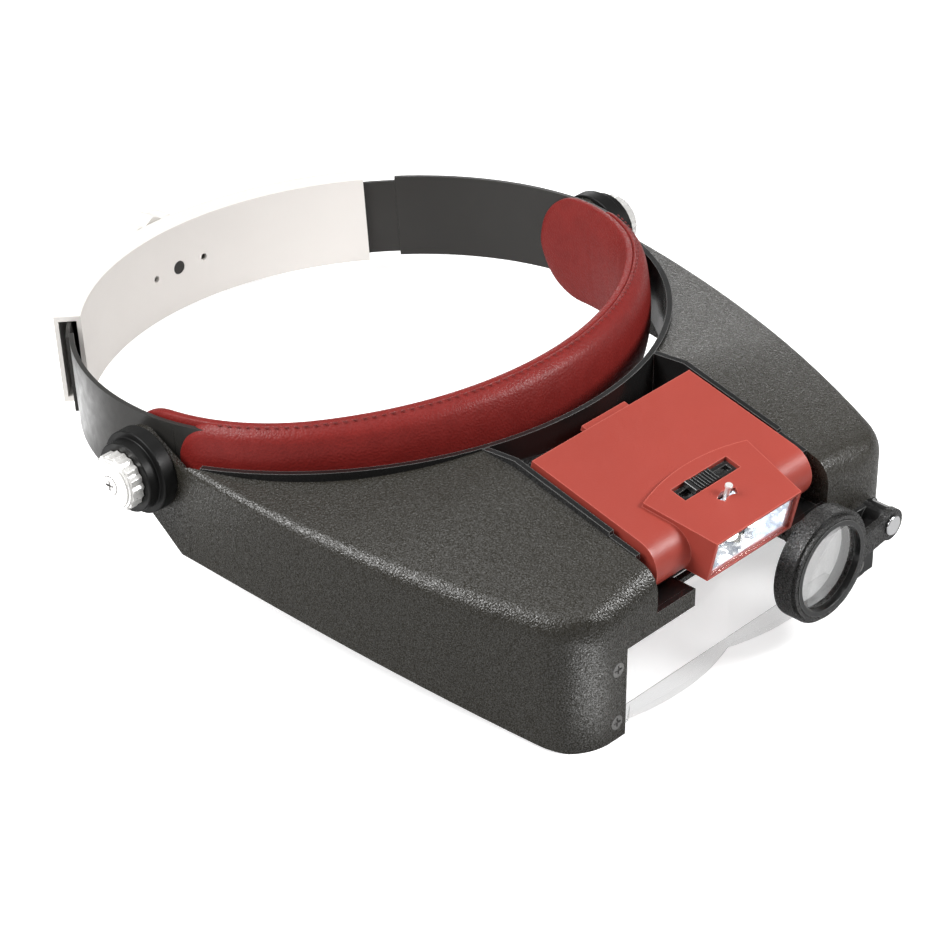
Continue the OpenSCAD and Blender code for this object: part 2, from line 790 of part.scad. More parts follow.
module hood_plan(from) {
  w = hood_front_w + (hood_rear_w - hood_front_w) * (from + hood_front) / (hood_rear + hood_front);
  polygon(concat([[-w, from], [w, from]], hood_arc()));
}

module lamp_housing() {
  w0 = hood_front_w + (hood_rear_w - hood_front_w) * hood_front / (hood_rear + hood_front);
  color([0.62, 0.2, 0.18]) in_box() difference() {
    union() {
      block([-box_half_w, 0, -box_low], [box_half_w, box_len, barrel_r]);
      bar_x(barrel_r, -box_half_w, box_half_w);
      bar_x(pin_r, -pocket_out + 0.3, pocket_out - 0.3);
      translate([0, 0, -hood_low])
        linear_extrude(hood_top + hood_low)
          polygon([[-hood_front_w, -hood_front], [hood_front_w, -hood_front], [w0, 0], [-w0, 0]]);
      translate([0, 0, barrel_r - 2])
        linear_extrude(hood_step + 2) hood_plan(-1);
    }
    block([-bay_half, bay_front, bay_low], [bay_half, box_len + 1, bay_top]);
    block([-lamp_half, -hood_front + window_t, lamp_low], [lamp_half, lamp_back, lamp_top]);
    block([-hood_front_w + 1, -hood_front - 1, -hood_low + 0.7],
          [hood_front_w - 1, -hood_front + window_t, hood_top - 0.8]);
    block([-slot_len / 2, slot_v - slot_w / 2, 2], [slot_len / 2, slot_v + slot_w / 2, hood_top + 1]);
    translate([0, led_u, 0])
      rotate([0, 0, 90 - lever_swing - 9])
        rotate_extrude(angle = 2 * lever_swing + 18)
          translate([lever_u - led_u - lever_r - 0.4, lamp_top - 1]) square([2 * lever_r + 0.8, 8]);
  }
}

// Tray that slides out of the rear with the cells on it
module battery_tray() {
  rib_x = cell_len / 2 + 2.2;
  tab_half = 13.5;
  color([0.58, 0.18, 0.17]) in_box() {
    block([-tray_x, bay_front + gap, bay_low + 0.05], [tray_x, box_len - 1.2, bay_low + floor_t]);
    block([-tray_x, box_len - 1.2, bay_low + 0.05], [tray_x, box_len, bay_top - 0.1]);
    block([-tab_half, box_len - eps, bay_top - 2], [tab_half, box_len + 3.4, bay_top - 0.2]);
    for (s = [-1, 1])
      block([min(s * rib_x, s * (rib_x + 1.2)), bay_front + 2, bay_low + floor_t - eps],
            [max(s * rib_x, s * (rib_x + 1.2)), box_len - 1.2 + eps, cell_v - 2]);
  }
}

module batteries() {
  color([0.25, 0.28, 0.3]) in_box()
    for (i = [0, 1])
      translate([0, cell_u[i], cell_v])
        mirror([i, 0, 0]) {
          bar_x(cell_d / 2, -cell_len / 2, cell_len / 2 - 1);
          bar_x(1.9, cell_len / 2 - 1.01, cell_len / 2);
        }
}

module battery_contacts() {
  x0 = cell_len / 2 + gap;
  color([0.75, 0.62, 0.32]) in_box()
    both_sides()
      for (u = cell_u)
        block([x0, u - 3.6, cell_v - 1], [x0 + 0.5, u + 3.6, bay_top]);
}

module switch_body() {
  half_l = slot_len / 2 - 0.2;
  half_w = slot_w / 2 - 0.2;
  color([0.06, 0.06, 0.06]) in_box() difference() {
    block([-half_l, slot_v - half_w, 2], [half_l, slot_v + half_w, hood_top - 1.2]);
    block([-half_l + 1.5, slot_v - 1.1, hood_top - 2.6], [half_l - 1.5, slot_v + 1.1, hood_top]);
  }
}

// Ribbed slider, drawn at one end of its travel
module switch_slider() {
  from = -7.5;
  to = 4.5;
  base = hood_top - 1.1;
  ribs = 7;
  color([0.1, 0.1, 0.1]) in_box() {
    block([from, slot_v - 2.6, base], [to, slot_v + 2.6, base + 0.8]);
    block([from + 1, slot_v - 1, base - 1.2], [to - 1, slot_v + 1, base + eps]);
    for (k = [0 : ribs - 1])
      block([from + 2.6 + k * 1.35, slot_v - 2.6, base + 0.8 - eps],
            [from + 3.3 + k * 1.35, slot_v + 2.6, base + 1.5]);
    block([from, slot_v - 2.6, base + 0.8 - eps], [from + 1.6, slot_v + 2.6, base + 2]);
  }
}

module lamp_window() {
  color([0.9, 0.93, 0.95, 0.4]) in_box()
    block([-hood_front_w + 1.05, -hood_front + 0.1, -hood_low + 0.75],
          [hood_front_w - 1.05, -hood_front + window_t - 0.05, hood_top - 0.85]);
}

// Open-fronted reflector with a slot for the lever
module reflector() {
  w = lamp_half - 0.1;
  color([0.85, 0.85, 0.86]) in_box() difference() {
    block([-w, -hood_front + window_t + 0.3, lamp_low + 0.05], [w, lamp_back - 0.1, lamp_top - 0.1]);
    block([-w + 0.8, -hood_front - 1, lamp_low + 0.85], [w - 0.8, lamp_back - 0.9, lamp_top - 0.9]);
    translate([0, led_u, 0])
      rotate([0, 0, 90 - lever_swing - 9])
        rotate_extrude(angle = 2 * lever_swing + 18)
          translate([lever_u - led_u - lever_r - 0.4, lamp_top - 2]) square([2 * lever_r + 6, 8]);
    translate([0, led_u, lamp_low - 1]) cylinder(r = 1.5, h = 4);
  }
}

// Carrier that turns behind the window with the lever
module led_carrier() {
  low = lamp_low + 1.3;
  high = lamp_top - 1.4;
  color([0.9, 0.9, 0.88]) in_box() difference() {
    union() {
      block([-led_half, led_u - 0.6, low], [led_half, led_u + 2.2, high]);
      translate([0, led_u, lamp_low + 0.1]) cylinder(r = 1.44, h = low - lamp_low);
      translate([0, led_u, low]) cylinder(r = 3, h = high - low);
      block([-1.6, led_u, high - 2], [1.6, lever_u - 1.15, high]);
    }
    for (x = [-5, 5])
      translate([x, 0, (low + high) / 2]) bar_y(2.5, led_u - 4, led_u + 4);
  }
}

module leds() {
  mid = (lamp_low + lamp_top) / 2 - 0.05;
  color([1, 1, 0.95, 0.7]) in_box()
    for (x = [-5, 5])
      translate([x, 0, mid]) {
        bar_y(2.45, led_u - 1.4, led_u + 2);
        translate([0, led_u - 1.4, 0]) intersection() {
          sphere(r = 2.45);
          block([-3, -3, -3], [3, 0.01, 3]);
        }
      }
}

module lever_pin() {
  color([0.82, 0.82, 0.82]) in_box()
    translate([0, lever_u - 0.2, lamp_top - 3.4]) {
      cylinder(r = lever_r, h = hood_top - lamp_top + 6.4);
      translate([0, 0, hood_top - lamp_top + 6]) cylinder(r = lever_r + 0.35, h = 1);
    }
}

// Flip-down lens, stowed level under the lamp box
module flip_frame() {
  rail = 2.2;
  half = pocket_half - 0.4;
  far = 3 + flip_h + 1.2;
  color([0.09, 0.09, 0.09]) in_visor() translate([0, flip_y, flip_z]) {
    bar_x(flip_pin_r, -pocket_out + 0.3, pocket_out - 0.3);
    difference() {
      block([-half, -1.2, -1.2], [half, far, 1.2]);
      block([-flip_half_w, 3, -5], [flip_half_w, far + 5, 5]);
      block([-half - 1, rail + 8, -5], [-flip_half_w - rail, far + 5, 5]);
      block([flip_half_w + rail, rail + 8, -5], [half + 1, far + 5, 5]);
    }
  }
}

module flip_lens() {
  color([0.85, 0.9, 0.92, 0.4]) in_visor() translate([0, flip_y, flip_z])
    both_sides() intersection() {
      block([-eps, 3.05, -flip_t / 2], [flip_half_w - 0.05, 3 + flip_h, 4]);
      translate([flip_half_w / 2, 3 + flip_h / 2, flip_t / 2 + 1 - flip_lobe_r])
        sphere(r = flip_lobe_r, $fn = 240);
    }
}

// Loupe
module loupe_bracket() {
  z0 = lens_screw_low - 3.6;
  z1 = lens_screw_high + 3.2;
  x0 = lens_screw_x - 3.6;
  color([0.1, 0.1, 0.1]) in_visor() difference() {
    union() {
      block([x0, -bracket_t, z0], [rivet_x + 3.4, -0.05, z1]);
      translate([rivet_x, 0, rivet_z]) bar_y(5, -arm_gap + 0.1, -0.05);
    }
    translate([rivet_x, 0, rivet_z]) bar_y(1.5, -arm_gap - 1, -3);
    translate([lens_screw_x, 0, lens_screw_low]) bar_y(screw_r + 0.05, -9, 9);
    translate([lens_screw_x, 0, lens_screw_low]) bar_y(screw_head_r + 0.1, -9, -bracket_t + 0.9);
  }
}

module bracket_screws() {
  color([0.1, 0.1, 0.1]) in_visor()
    translate([lens_screw_x, 0, lens_screw_low]) face_screw(-bracket_t - 0.1, 7);
}

module loupe_ring() {
  y1 = -arm_gap;
  y0 = -arm_gap - arm_t;
  color([0.07, 0.07, 0.07]) in_visor() difference() {
    union() {
      translate([loupe_x, 0, loupe_z]) bar_y(loupe_r, loupe_front + 1.2, loupe_back);
      translate([loupe_x, 0, loupe_z]) bar_y(loupe_r - 1.2, loupe_front, loupe_back);
      translate([rivet_x, y1, rivet_z])
        rotate([90, -arm_turn, 0])
          linear_extrude(arm_t) {
            circle(r = arm_end_r);
            translate([-arm_len + glass_r + 2, -4.2]) square([arm_len - glass_r - 2, 8.4]);
          }
    }
    translate([loupe_x, 0, loupe_z]) bar_y(glass_r, -50, 0);
    translate([loupe_x, 0, loupe_z]) bar_y(glass_r + 1.6, -50, loupe_front + 2);
    translate([rivet_x, 0, rivet_z]) bar_y(1.5 + fit, -20, 0);
  }
}

module loupe_retainer() {
  color([0.05, 0.05, 0.05]) in_visor() translate([loupe_x, 0, loupe_z])
    rotate([-90, 0, 0])
      rotate_extrude()
        polygon([[glass_r - 0.8, loupe_front + 2], [glass_r - 0.2, loupe_front - 0.2],
                 [glass_r + 1.5, loupe_front - 0.2], [glass_r + 1.5, loupe_front + 1.95],
                 [glass_r - 0.1, loupe_front + 1.95]]);
}

// Biconvex glass
module loupe_lens() {
  r = 45;
  mid = (loupe_front + loupe_back) / 2 + 0.4;
  sag = r - sqrt(r * r - glass_r * glass_r);
  half_t = sag + 0.5;
  color([0.88, 0.93, 0.95, 0.4]) in_visor() translate([loupe_x, mid, loupe_z])
    intersection() {
      bar_y(glass_r - 0.03, -half_t, half_t);
      translate([0, r - half_t, 0]) sphere(r = r, $fn = 240);
      translate([0, half_t - r, 0]) sphere(r = r, $fn = 240);
    }
}

module loupe_rivet() {
  y0 = -arm_gap - arm_t;
  color([0.8, 0.8, 0.8]) in_visor() translate([rivet_x, 0, rivet_z]) {
    bar_y(1.49, y0 - 0.2, -3.2);
    bar_y(3.4, y0 - 1, y0 - 0.05);
  }
}

band_strap();
forehead_pad();
pad_wrap();
strap_tail_left();
strap_tail_right();
pivot_studs();
pivot_washers();
clamp_knob_left();
clamp_knob_right();
knob_screw_left();
knob_screw_right();
rear_sleeve();
ratchet_knob();
ratchet_pinion();
visor_shell();
inner_frame();
main_lens();
lens_screws();
loupe_bracket();
bracket_screws();
lamp_housing();
battery_tray();
batteries();
battery_contacts();
switch_body();
switch_slider();
lamp_window();
reflector();
led_carrier();
leds();
lever_pin();
flip_frame();
flip_lens();
loupe_ring();
loupe_retainer();
loupe_lens();
loupe_rivet();
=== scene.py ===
# Head magnifier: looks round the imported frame, in metres
import json
import math

import bmesh
import bpy
from mathutils import Matrix, Vector


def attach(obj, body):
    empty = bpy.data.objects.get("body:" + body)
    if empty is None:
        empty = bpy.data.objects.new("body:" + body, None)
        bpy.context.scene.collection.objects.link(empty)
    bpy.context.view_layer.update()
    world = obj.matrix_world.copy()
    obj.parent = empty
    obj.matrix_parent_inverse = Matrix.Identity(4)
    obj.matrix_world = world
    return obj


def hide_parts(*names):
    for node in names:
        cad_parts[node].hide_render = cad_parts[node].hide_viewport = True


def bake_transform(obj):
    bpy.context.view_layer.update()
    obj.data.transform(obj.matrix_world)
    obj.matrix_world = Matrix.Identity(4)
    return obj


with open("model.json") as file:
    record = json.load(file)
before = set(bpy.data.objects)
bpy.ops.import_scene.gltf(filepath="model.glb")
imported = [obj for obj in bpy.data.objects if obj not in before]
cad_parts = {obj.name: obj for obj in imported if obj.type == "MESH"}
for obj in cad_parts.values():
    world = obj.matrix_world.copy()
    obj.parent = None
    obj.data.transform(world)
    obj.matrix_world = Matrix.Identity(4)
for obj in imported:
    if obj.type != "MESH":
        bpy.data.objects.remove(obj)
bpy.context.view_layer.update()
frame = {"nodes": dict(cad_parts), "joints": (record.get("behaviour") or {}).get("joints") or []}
NODES = frame["nodes"]
JOINTS = {j["name"]: j for j in frame["joints"]}

# Frames of the visor, the band and the lamp box, from millimetres to the shared frame
TILT_AT = Vector(JOINTS["visor_tilt"]["pos_m"])
PIVOT_Y, PIVOT_UP = 154.0, 51.0
HINGE_Y, HINGE_Z, BOX_SLOPE = 12.7, 47.2, math.radians(12.4)


def pitch_of(axis):
    return math.atan2(-axis[2], axis[1])


def placed(at, pitch, origin):
    """From millimetres round an origin to a pitched frame, in metres."""
    place = Matrix.Translation(at) @ Matrix.Rotation(-pitch, 4, "X") @ Matrix.Scale(0.001, 4)
    return place @ Matrix.Translation(-Vector(origin))


VISOR = placed(TILT_AT, pitch_of(JOINTS["loupe_swing"]["axis"]), (0, PIVOT_Y, PIVOT_UP))
BAND = placed(TILT_AT, pitch_of(JOINTS["band_size"]["axis"]), (0, 0, 0))
BOX = VISOR @ Matrix.Translation((0, HINGE_Y, HINGE_Z)) @ Matrix.Rotation(BOX_SLOPE, 4, "X")

# The strap runs into the rear sleeve; pieces marked so are baked where they lie and ride no body
BENDS = "headband to sleeve"

# The camera as fitted to the photograph: its axes and place in the visor's frame
VIEW_RIGHT = (0.68505586, -0.72849055, 0.0)
VIEW_UP = (0.3904521, 0.36717223, 0.84423439)
VIEW_BACK = (-0.61501677, -0.57834771, 0.53597415)
VIEW_FROM = (-682.36, -525.28, 614.56)
FOCAL_PIXELS, PHOTO_PIXELS, SENSOR_MM = 3400.88, 930, 36.0


def make_camera():
    turn = VISOR.to_3x3() * 1000
    axes = [turn @ Vector(axis) for axis in (VIEW_RIGHT, VIEW_UP, VIEW_BACK)]
    data = bpy.data.cameras.new("camera")
    data.sensor_width, data.lens = SENSOR_MM, FOCAL_PIXELS / PHOTO_PIXELS * SENSOR_MM
    data.clip_start, data.clip_end = 0.02, 20
    cam = bpy.data.objects.new("camera", data)
    place = Matrix(axes).transposed().to_4x4()
    place.translation = VISOR @ Vector(VIEW_FROM)
    cam.matrix_world = place
    bpy.context.scene.collection.objects.link(cam)
    bpy.context.scene.camera = cam


make_camera()


# Material helpers. Texture scales are in features per metre
SHADE_SCALE, WANDER_SCALE, SCRATCH_SCALE, FACET_SCALE = 35, 260, 400, 330


def node_of(tree, kind, **values):
    n = tree.nodes.new(kind)
    for key, value in values.items():
        if hasattr(n, key):
            setattr(n, key, value)
        else:
            n.inputs[key.replace("_", " ")].default_value = value
    return n


def finish_of(name, base, rough, metal=0.0, **sockets):
    """A material with a plain shader and Object coordinates, ready for detail."""
    m = bpy.data.materials.new(name)
    m.use_nodes = True
    t = m.node_tree
    s = t.nodes["Principled BSDF"]
    s.inputs["Base Color"].default_value = (*base, 1)
    s.inputs["Roughness"].default_value = rough
    s.inputs["Metallic"].default_value = metal
    for key, value in sockets.items():
        s.inputs[key.replace("_", " ")].default_value = value
    coords = t.nodes.new("ShaderNodeTexCoord")
    return m, t, s, coords.outputs["Object"]


def noise_of(t, coords, scale, detail=3.0, rough=0.5, distort=0.0):
    n = node_of(
        t, "ShaderNodeTexNoise", Scale=scale, Detail=detail, Roughness=rough, Distortion=distort)
    t.links.new(coords, n.inputs["Vector"])
    return n.outputs["Fac"]


def cells_of(t, coords, scale, smooth=None):
    n = node_of(t, "ShaderNodeTexVoronoi", Scale=scale)
    if smooth is not None:
        n.feature = "SMOOTH_F1"
        n.inputs["Smoothness"].default_value = smooth
    t.links.new(coords, n.inputs["Vector"])
    return n.outputs["Distance"]


def spread(t, value, low, high, out_low, out_high):
    """Maps the range from low to high onto another, and clamps it there."""
    n = node_of(
        t, "ShaderNodeMapRange", From_Min=low, From_Max=high, To_Min=out_low, To_Max=out_high)
    t.links.new(value, n.inputs["Value"])
    return n.outputs["Result"]


def tint(t, value, dark, light):
    n = node_of(t, "ShaderNodeMix", data_type="RGBA", A=(*dark, 1), B=(*light, 1))
    t.links.new(value, n.inputs["Factor"])
    return n.outputs["Result"]


def total(t, a, b, weight):
    """The sum of a and b times a weight."""
    n = node_of(t, "ShaderNodeMath", operation="MULTIPLY_ADD")
    t.links.new(b, n.inputs[0])
    n.inputs[1].default_value = weight
    t.links.new(a, n.inputs[2])
    return n.outputs[0]


def relief(t, shader, height, depth, strength):
    n = node_of(t, "ShaderNodeBump", Strength=strength, Distance=depth)
    t.links.new(height, n.inputs["Height"])
    t.links.new(n.outputs["Normal"], shader.inputs["Normal"])


def moulded(name, dark, light, rough, grain, depth, strength, fleck=0.06, **sockets):
    """Moulded plastic: slow shade variation, a grain, and a roughness that wanders."""
    m, t, s, co = finish_of(name, light, rough, **sockets)
    slow = noise_of(t, co, SHADE_SCALE, 4)
    t.links.new(tint(t, slow, dark, light), s.inputs["Base Color"])
    fine = noise_of(t, co, grain, 2, 0.6)
    wander = spread(t, noise_of(t, co, WANDER_SCALE), 0.3, 0.7, rough - fleck, rough + fleck)
    t.links.new(wander, s.inputs["Roughness"])
    relief(t, s, fine, depth, strength)
    return m


def leatherette(name, dark, light, rough):
    """Coated cloth: pebbled grain, soft creases and paler raised parts."""
    m, t, s, co = finish_of(name, light, rough, Specular_IOR_Level=0.25)
    pebble = cells_of(t, co, 1350, smooth=0.35)
    crease = noise_of(t, co, 160, 4, 0.6, 0.8)
    both = total(t, pebble, crease, 0.15)
    t.links.new(tint(t, spread(t, crease, 0.35, 0.65, 0, 1), dark, light), s.inputs["Base Color"])
    t.links.new(spread(t, pebble, 0.2, 0.7, rough - 0.07, rough + 0.12), s.inputs["Roughness"])
    relief(t, s, both, depth=0.00014, strength=0.75)
    return m


def textured_shell(name, dark, light):
    """Spark-textured black plastic, with glints on the raised grain."""
    m, t, s, co = finish_of(name, (0.02, 0.017, 0.013), 0.36)
    grain = cells_of(t, co, 1550, smooth=0.4)
    fine = noise_of(t, co, 3000, 2, 0.6)
    both = total(t, grain, fine, 0.7)
    t.links.new(tint(t, spread(t, fine, 0.38, 0.62, 0, 1), dark, light), s.inputs["Base Color"])
    wander = spread(t, noise_of(t, co, 900, 2), 0.35, 0.65, 0.22, 0.4)
    t.links.new(wander, s.inputs["Roughness"])
    glints = spread(t, noise_of(t, co, 2300, 2, 0.6), 0.4, 0.62, 0.1, 1.0)
    t.links.new(glints, s.inputs["Specular IOR Level"])
    relief(t, s, both, depth=0.00012, strength=1.0)
    return m


# Where the far lobe of the main lens begins, in metres along X; past it the lens is painted darker
FAR_LOBE = 0.0042, 0.0048


def clear(name, tinted, thin, rough=0.0, ior=1.49, far=None):
    """Clear plastic or glass: a thin share passes straight through, the rest refracts; a far share
    on the far lobe paints shade there.
    """
    m, t, s, co = finish_of(name, tinted, rough, Transmission_Weight=1.0, IOR=ior)
    wander = spread(t, noise_of(t, co, 70), 0.4, 0.7, rough, rough + 0.03)
    t.links.new(wander, s.inputs["Roughness"])
    through = t.nodes.new("ShaderNodeBsdfTransparent")
    blend = node_of(t, "ShaderNodeMixShader", Fac=thin)
    if far is not None:
        apart = t.nodes.new("ShaderNodeSeparateXYZ")
        t.links.new(co, apart.inputs[0])
        t.links.new(spread(t, apart.outputs["X"], *FAR_LOBE, thin, far), blend.inputs["Fac"])
    t.links.new(s.outputs["BSDF"], blend.inputs[1])
    t.links.new(through.outputs["BSDF"], blend.inputs[2])
    t.links.new(blend.outputs["Shader"], t.nodes["Material Output"].inputs["Surface"])
    return m


def bright_metal(name, base, rough):
    """Bare or plated metal with fine scratches."""
    m, t, s, co = finish_of(name, base, rough, 1.0)
    wander = spread(t, noise_of(t, co, SCRATCH_SCALE), 0.3, 0.7, rough * 0.6, rough * 1.5)
    t.links.new(wander, s.inputs["Roughness"])
    dull = tuple(c * 0.86 for c in base)
    t.links.new(tint(t, noise_of(t, co, 60), dull, base), s.inputs["Base Color"])
    relief(t, s, noise_of(t, co, SCRATCH_SCALE * 3, 2), depth=0.00004, strength=0.3)
    return m


def edge_wear_and_painted_shading(m, edge, reach):
    """Another colour on the edges, where the broad faces turn: paler edges are painted highlight
    and partly wear, darker edges are painted shade.
    """
    t = m.node_tree
    s = t.nodes["Principled BSDF"]
    soft = node_of(t, "ShaderNodeBevel", samples=6, Radius=reach)
    plain = t.nodes.new("ShaderNodeNewGeometry")
    same = node_of(t, "ShaderNodeVectorMath", operation="DOT_PRODUCT")
    t.links.new(soft.outputs["Normal"], same.inputs[0])
    t.links.new(plain.outputs["Normal"], same.inputs[1])
    mask = spread(t, same.outputs["Value"], 0.985, 0.86, 0, 0.75)
    pick = node_of(t, "ShaderNodeMix", data_type="RGBA", B=(*edge, 1))
    t.links.new(s.inputs["Base Color"].links[0].from_socket, pick.inputs["A"])
    t.links.new(mask, pick.inputs["Factor"])
    t.links.new(pick.outputs["Result"], s.inputs["Base Color"])
    return m


def faceted_with_painted_glow(name, base):
    """Bright plating pressed in small facets, with a painted glow that stands for the light of the
    lamps before it.
    """
    m, t, s, co = finish_of(name, base, 0.12, 0.9)
    # Painted glow: the plate itself gives no light
    s.inputs["Emission Color"].default_value = (0.93, 0.95, 1, 1)
    s.inputs["Emission Strength"].default_value = 0.5
    facets = cells_of(t, co, FACET_SCALE)
    t.links.new(tint(t, facets, (1, 1, 1), (0.6, 0.65, 0.72)), s.inputs["Base Color"])
    t.links.new(tint(t, facets, (0.9, 0.94, 1), (0.35, 0.42, 0.55)), s.inputs["Emission Color"])
    relief(t, s, facets, depth=0.0008, strength=0.4)
    return m


def lamp_clear(name):
    """Clear plastic with a lit lamp in it."""
    m, t, s, co = finish_of(name, (1, 1, 0.97), 0.08, Transmission_Weight=0.6, IOR=1.5)
    s.inputs["Emission Color"].default_value = (1, 0.98, 0.94, 1)
    s.inputs["Emission Strength"].default_value = 1.7
    relief(t, s, noise_of(t, co, 900, 2), depth=0.00003, strength=0.3)
    return m


SHELL = textured_shell("spark_textured_black", (0.0175, 0.016, 0.0127), (0.0295, 0.0269, 0.0211))
RING = textured_shell("loupe_ring_black", (0.006, 0.0058, 0.0055), (0.026, 0.0255, 0.0245))
# Gloss black, with paler edges: a painted highlight, partly edge wear
GLOSS = edge_wear_and_painted_shading(
    moulded("gloss_black", (0.006, 0.006, 0.006), (0.014, 0.014, 0.014),
            rough=0.16, grain=500, depth=0.00003, strength=0.25, fleck=0.05),
    edge=(0.24, 0.24, 0.235), reach=0.0004)
STRAP = moulded("strap_charcoal", (0.024, 0.023, 0.0213), (0.034, 0.0328, 0.0304),
                rough=0.34, grain=2600, depth=0.00006, strength=0.3)
# Brick red, with paler edges: a painted highlight, partly edge wear
RED = edge_wear_and_painted_shading(
    moulded("lamp_box_red", (0.285, 0.043, 0.0305), (0.325, 0.0495, 0.0355),
            rough=0.38, grain=2200, depth=0.0001, strength=0.5, Specular_IOR_Level=0.35),
    edge=(0.55, 0.14, 0.11), reach=0.0007)
SLEEVE = moulded("sleeve_white", (0.75, 0.725, 0.69), (0.80, 0.775, 0.74),
                 rough=0.42, grain=1800, depth=0.00005, strength=0.3)
LEATHER = leatherette("pad_leatherette", (0.18, 0.0145, 0.0122), (0.205, 0.0175, 0.0147), 0.38)
THREAD = moulded("seam_thread", (0.12, 0.011, 0.0095), (0.165, 0.016, 0.0135),
                 rough=0.6, grain=3000, depth=0.0001, strength=0.8)
LENS = clear("clear_acrylic", (0.99, 0.995, 0.995), thin=0.92)
# The rear face lets less through on the far lobe: painted shade there
LENS_BACK = clear("lens_rear_face", (0.985, 0.99, 0.99), thin=0.96, far=0.88)
LENS_EDGE = clear("acrylic_edge", (0.6, 0.62, 0.63), thin=0.72, rough=0.1)
# Dark lines along the main lens's bottom edge: painted shade
LENS_SHADE_LINE = clear("acrylic_edge_line", (0.13, 0.135, 0.14), thin=0.1, rough=0.15)
GLASS = clear("loupe_glass", (0.95, 0.96, 0.955), thin=0.62, ior=1.5)
CHROME = bright_metal("chrome_plate", (0.86, 0.86, 0.87), 0.12)
STEEL = bright_metal("turned_steel", (0.62, 0.61, 0.6), 0.3)
BRASS = bright_metal("contact_brass", (0.72, 0.55, 0.28), 0.25)
SATIN = moulded("satin_nickel", (0.86, 0.85, 0.825), (0.92, 0.91, 0.885),
                rough=0.26, grain=900, depth=0.00002, strength=0.3, fleck=0.05, Metallic=0.5)
WASHER = moulded("washer_black", (0.004, 0.004, 0.004), (0.01, 0.01, 0.0095),
                 rough=0.42, grain=700, depth=0.00004, strength=0.3, Specular_IOR_Level=0.25)
BLACK_STEEL = moulded("blackened_steel", (0.05, 0.05, 0.05), (0.09, 0.09, 0.09),
                      rough=0.26, grain=900, depth=0.00005, strength=0.3, Metallic=0.8)
# Screw steel, with dark edges round the head and in the cross: painted shade
SCREW = edge_wear_and_painted_shading(
    moulded("screw_steel", (0.17, 0.167, 0.163), (0.21, 0.206, 0.2),
            rough=0.32, grain=900, depth=0.00003, strength=0.3, fleck=0.04, Metallic=0.5),
    edge=(0.006, 0.006, 0.006), reach=0.0003)
CELL = moulded("cell_wrap", (0.16, 0.17, 0.19), (0.24, 0.25, 0.27),
               rough=0.28, grain=600, depth=0.00002, strength=0.2, fleck=0.05, Metallic=0.5)
# The reflector plate glows with painted light
MIRROR = faceted_with_painted_glow("reflector_plate", (0.92, 0.92, 0.93))
LED = lamp_clear("led_clear")


# Mesh helpers. Corners nearer than this many metres are joined
MERGE_M = 1e-6


def object_of(name, bm, material):
    mesh = bpy.data.meshes.new(name)
    bm.to_mesh(mesh)
    bm.free()
    mesh.materials.append(material)
    o = bpy.data.objects.new(name, mesh)
    bpy.context.scene.collection.objects.link(o)
    return o


def baked(o):
    """Turns the evaluated object into a plain mesh and drops its modifiers."""
    graph = bpy.context.evaluated_depsgraph_get()
    mesh = bpy.data.meshes.new_from_object(o.evaluated_get(graph))
    o.modifiers.clear()
    old = o.data
    o.data = mesh
    bpy.data.meshes.remove(old)
    return o


def smoothed(o, degrees=32):
    o.data.shade_smooth()
    o.data.set_sharp_from_angle(angle=math.radians(degrees))
    return o


def evened(o):
    """Broad faces keep a flat shade beside their rounded edges."""
    w = o.modifiers.new("shade", "WEIGHTED_NORMAL")
    w.mode, w.weight, w.keep_sharp = "FACE_AREA", 100, True
    return baked(o)


def painted(node, material):
    """A CAD node keeps its shape and gets a better finish."""
    mesh = NODES[node].data
    mesh.materials.clear()
    mesh.materials.append(material)


def merged(node):
    """A CAD node's mesh with its doubled corners joined."""
    bm = bmesh.new()
    bm.from_mesh(NODES[node].data)
    bmesh.ops.remove_doubles(bm, verts=bm.verts, dist=MERGE_M)
    return bm


def bevelled(o, width, segments, degrees, material=-1):
    """Rounds the edges over an angle; the width is in millimetres."""
    b = o.modifiers.new("edge", "BEVEL")
    b.width, b.segments, b.material = width * 0.001, segments, material
    b.limit_method, b.angle_limit = "ANGLE", math.radians(degrees)
    return baked(o)


def dressed(node, body, material, bevel=0.3, segments=2, angle=40):
    """A merged copy of a CAD node with softened edges, standing for it."""
    bm = merged(node)
    bmesh.ops.dissolve_limit(bm, angle_limit=math.radians(1.0), verts=bm.verts, edges=bm.edges)
    o = object_of(node + "_finish", bm, material)
    if bevel:
        bevelled(o, bevel, segments, angle)
    smoothed(o)
    evened(o)
    if body == BENDS:
        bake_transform(o)
    else:
        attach(o, body)
    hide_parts(node)
    return o


# The finger tab's corner radius in metres, and what tells its upright edges in millimetres
TAB_R, TAB_NEAR, TAB_TALL = 0.0035, 0.05, 0.8


def round_tab(o):
    """The battery tray's finger tab has rounded corners, and all edges are softened."""
    bm = bmesh.new()
    bm.from_mesh(o.data)
    back = BOX.inverted()
    rear = max((back @ v.co).y for v in bm.verts)
    posts = []
    for e in bm.edges:
        a, b = (back @ v.co for v in e.verts)
        upright = abs(a.x - b.x) < TAB_NEAR and abs(a.z - b.z) > TAB_TALL
        if upright and min(a.y, b.y) > rear - TAB_NEAR:
            posts.append(e)
    bmesh.ops.bevel(bm, geom=posts, offset=TAB_R, segments=6, affect="EDGES")
    bm.to_mesh(o.data)
    bm.free()
    bevelled(o, 0.3, 2, 40)
    smoothed(o)
    evened(o)


def shrunk(o, share):
    """The same mesh made smaller about its middle."""
    middle = sum((v.co for v in o.data.vertices), Vector()) / len(o.data.vertices)
    shrink = Matrix.Translation(middle) @ Matrix.Scale(share, 4) @ Matrix.Translation(-middle)
    o.data.transform(shrink)


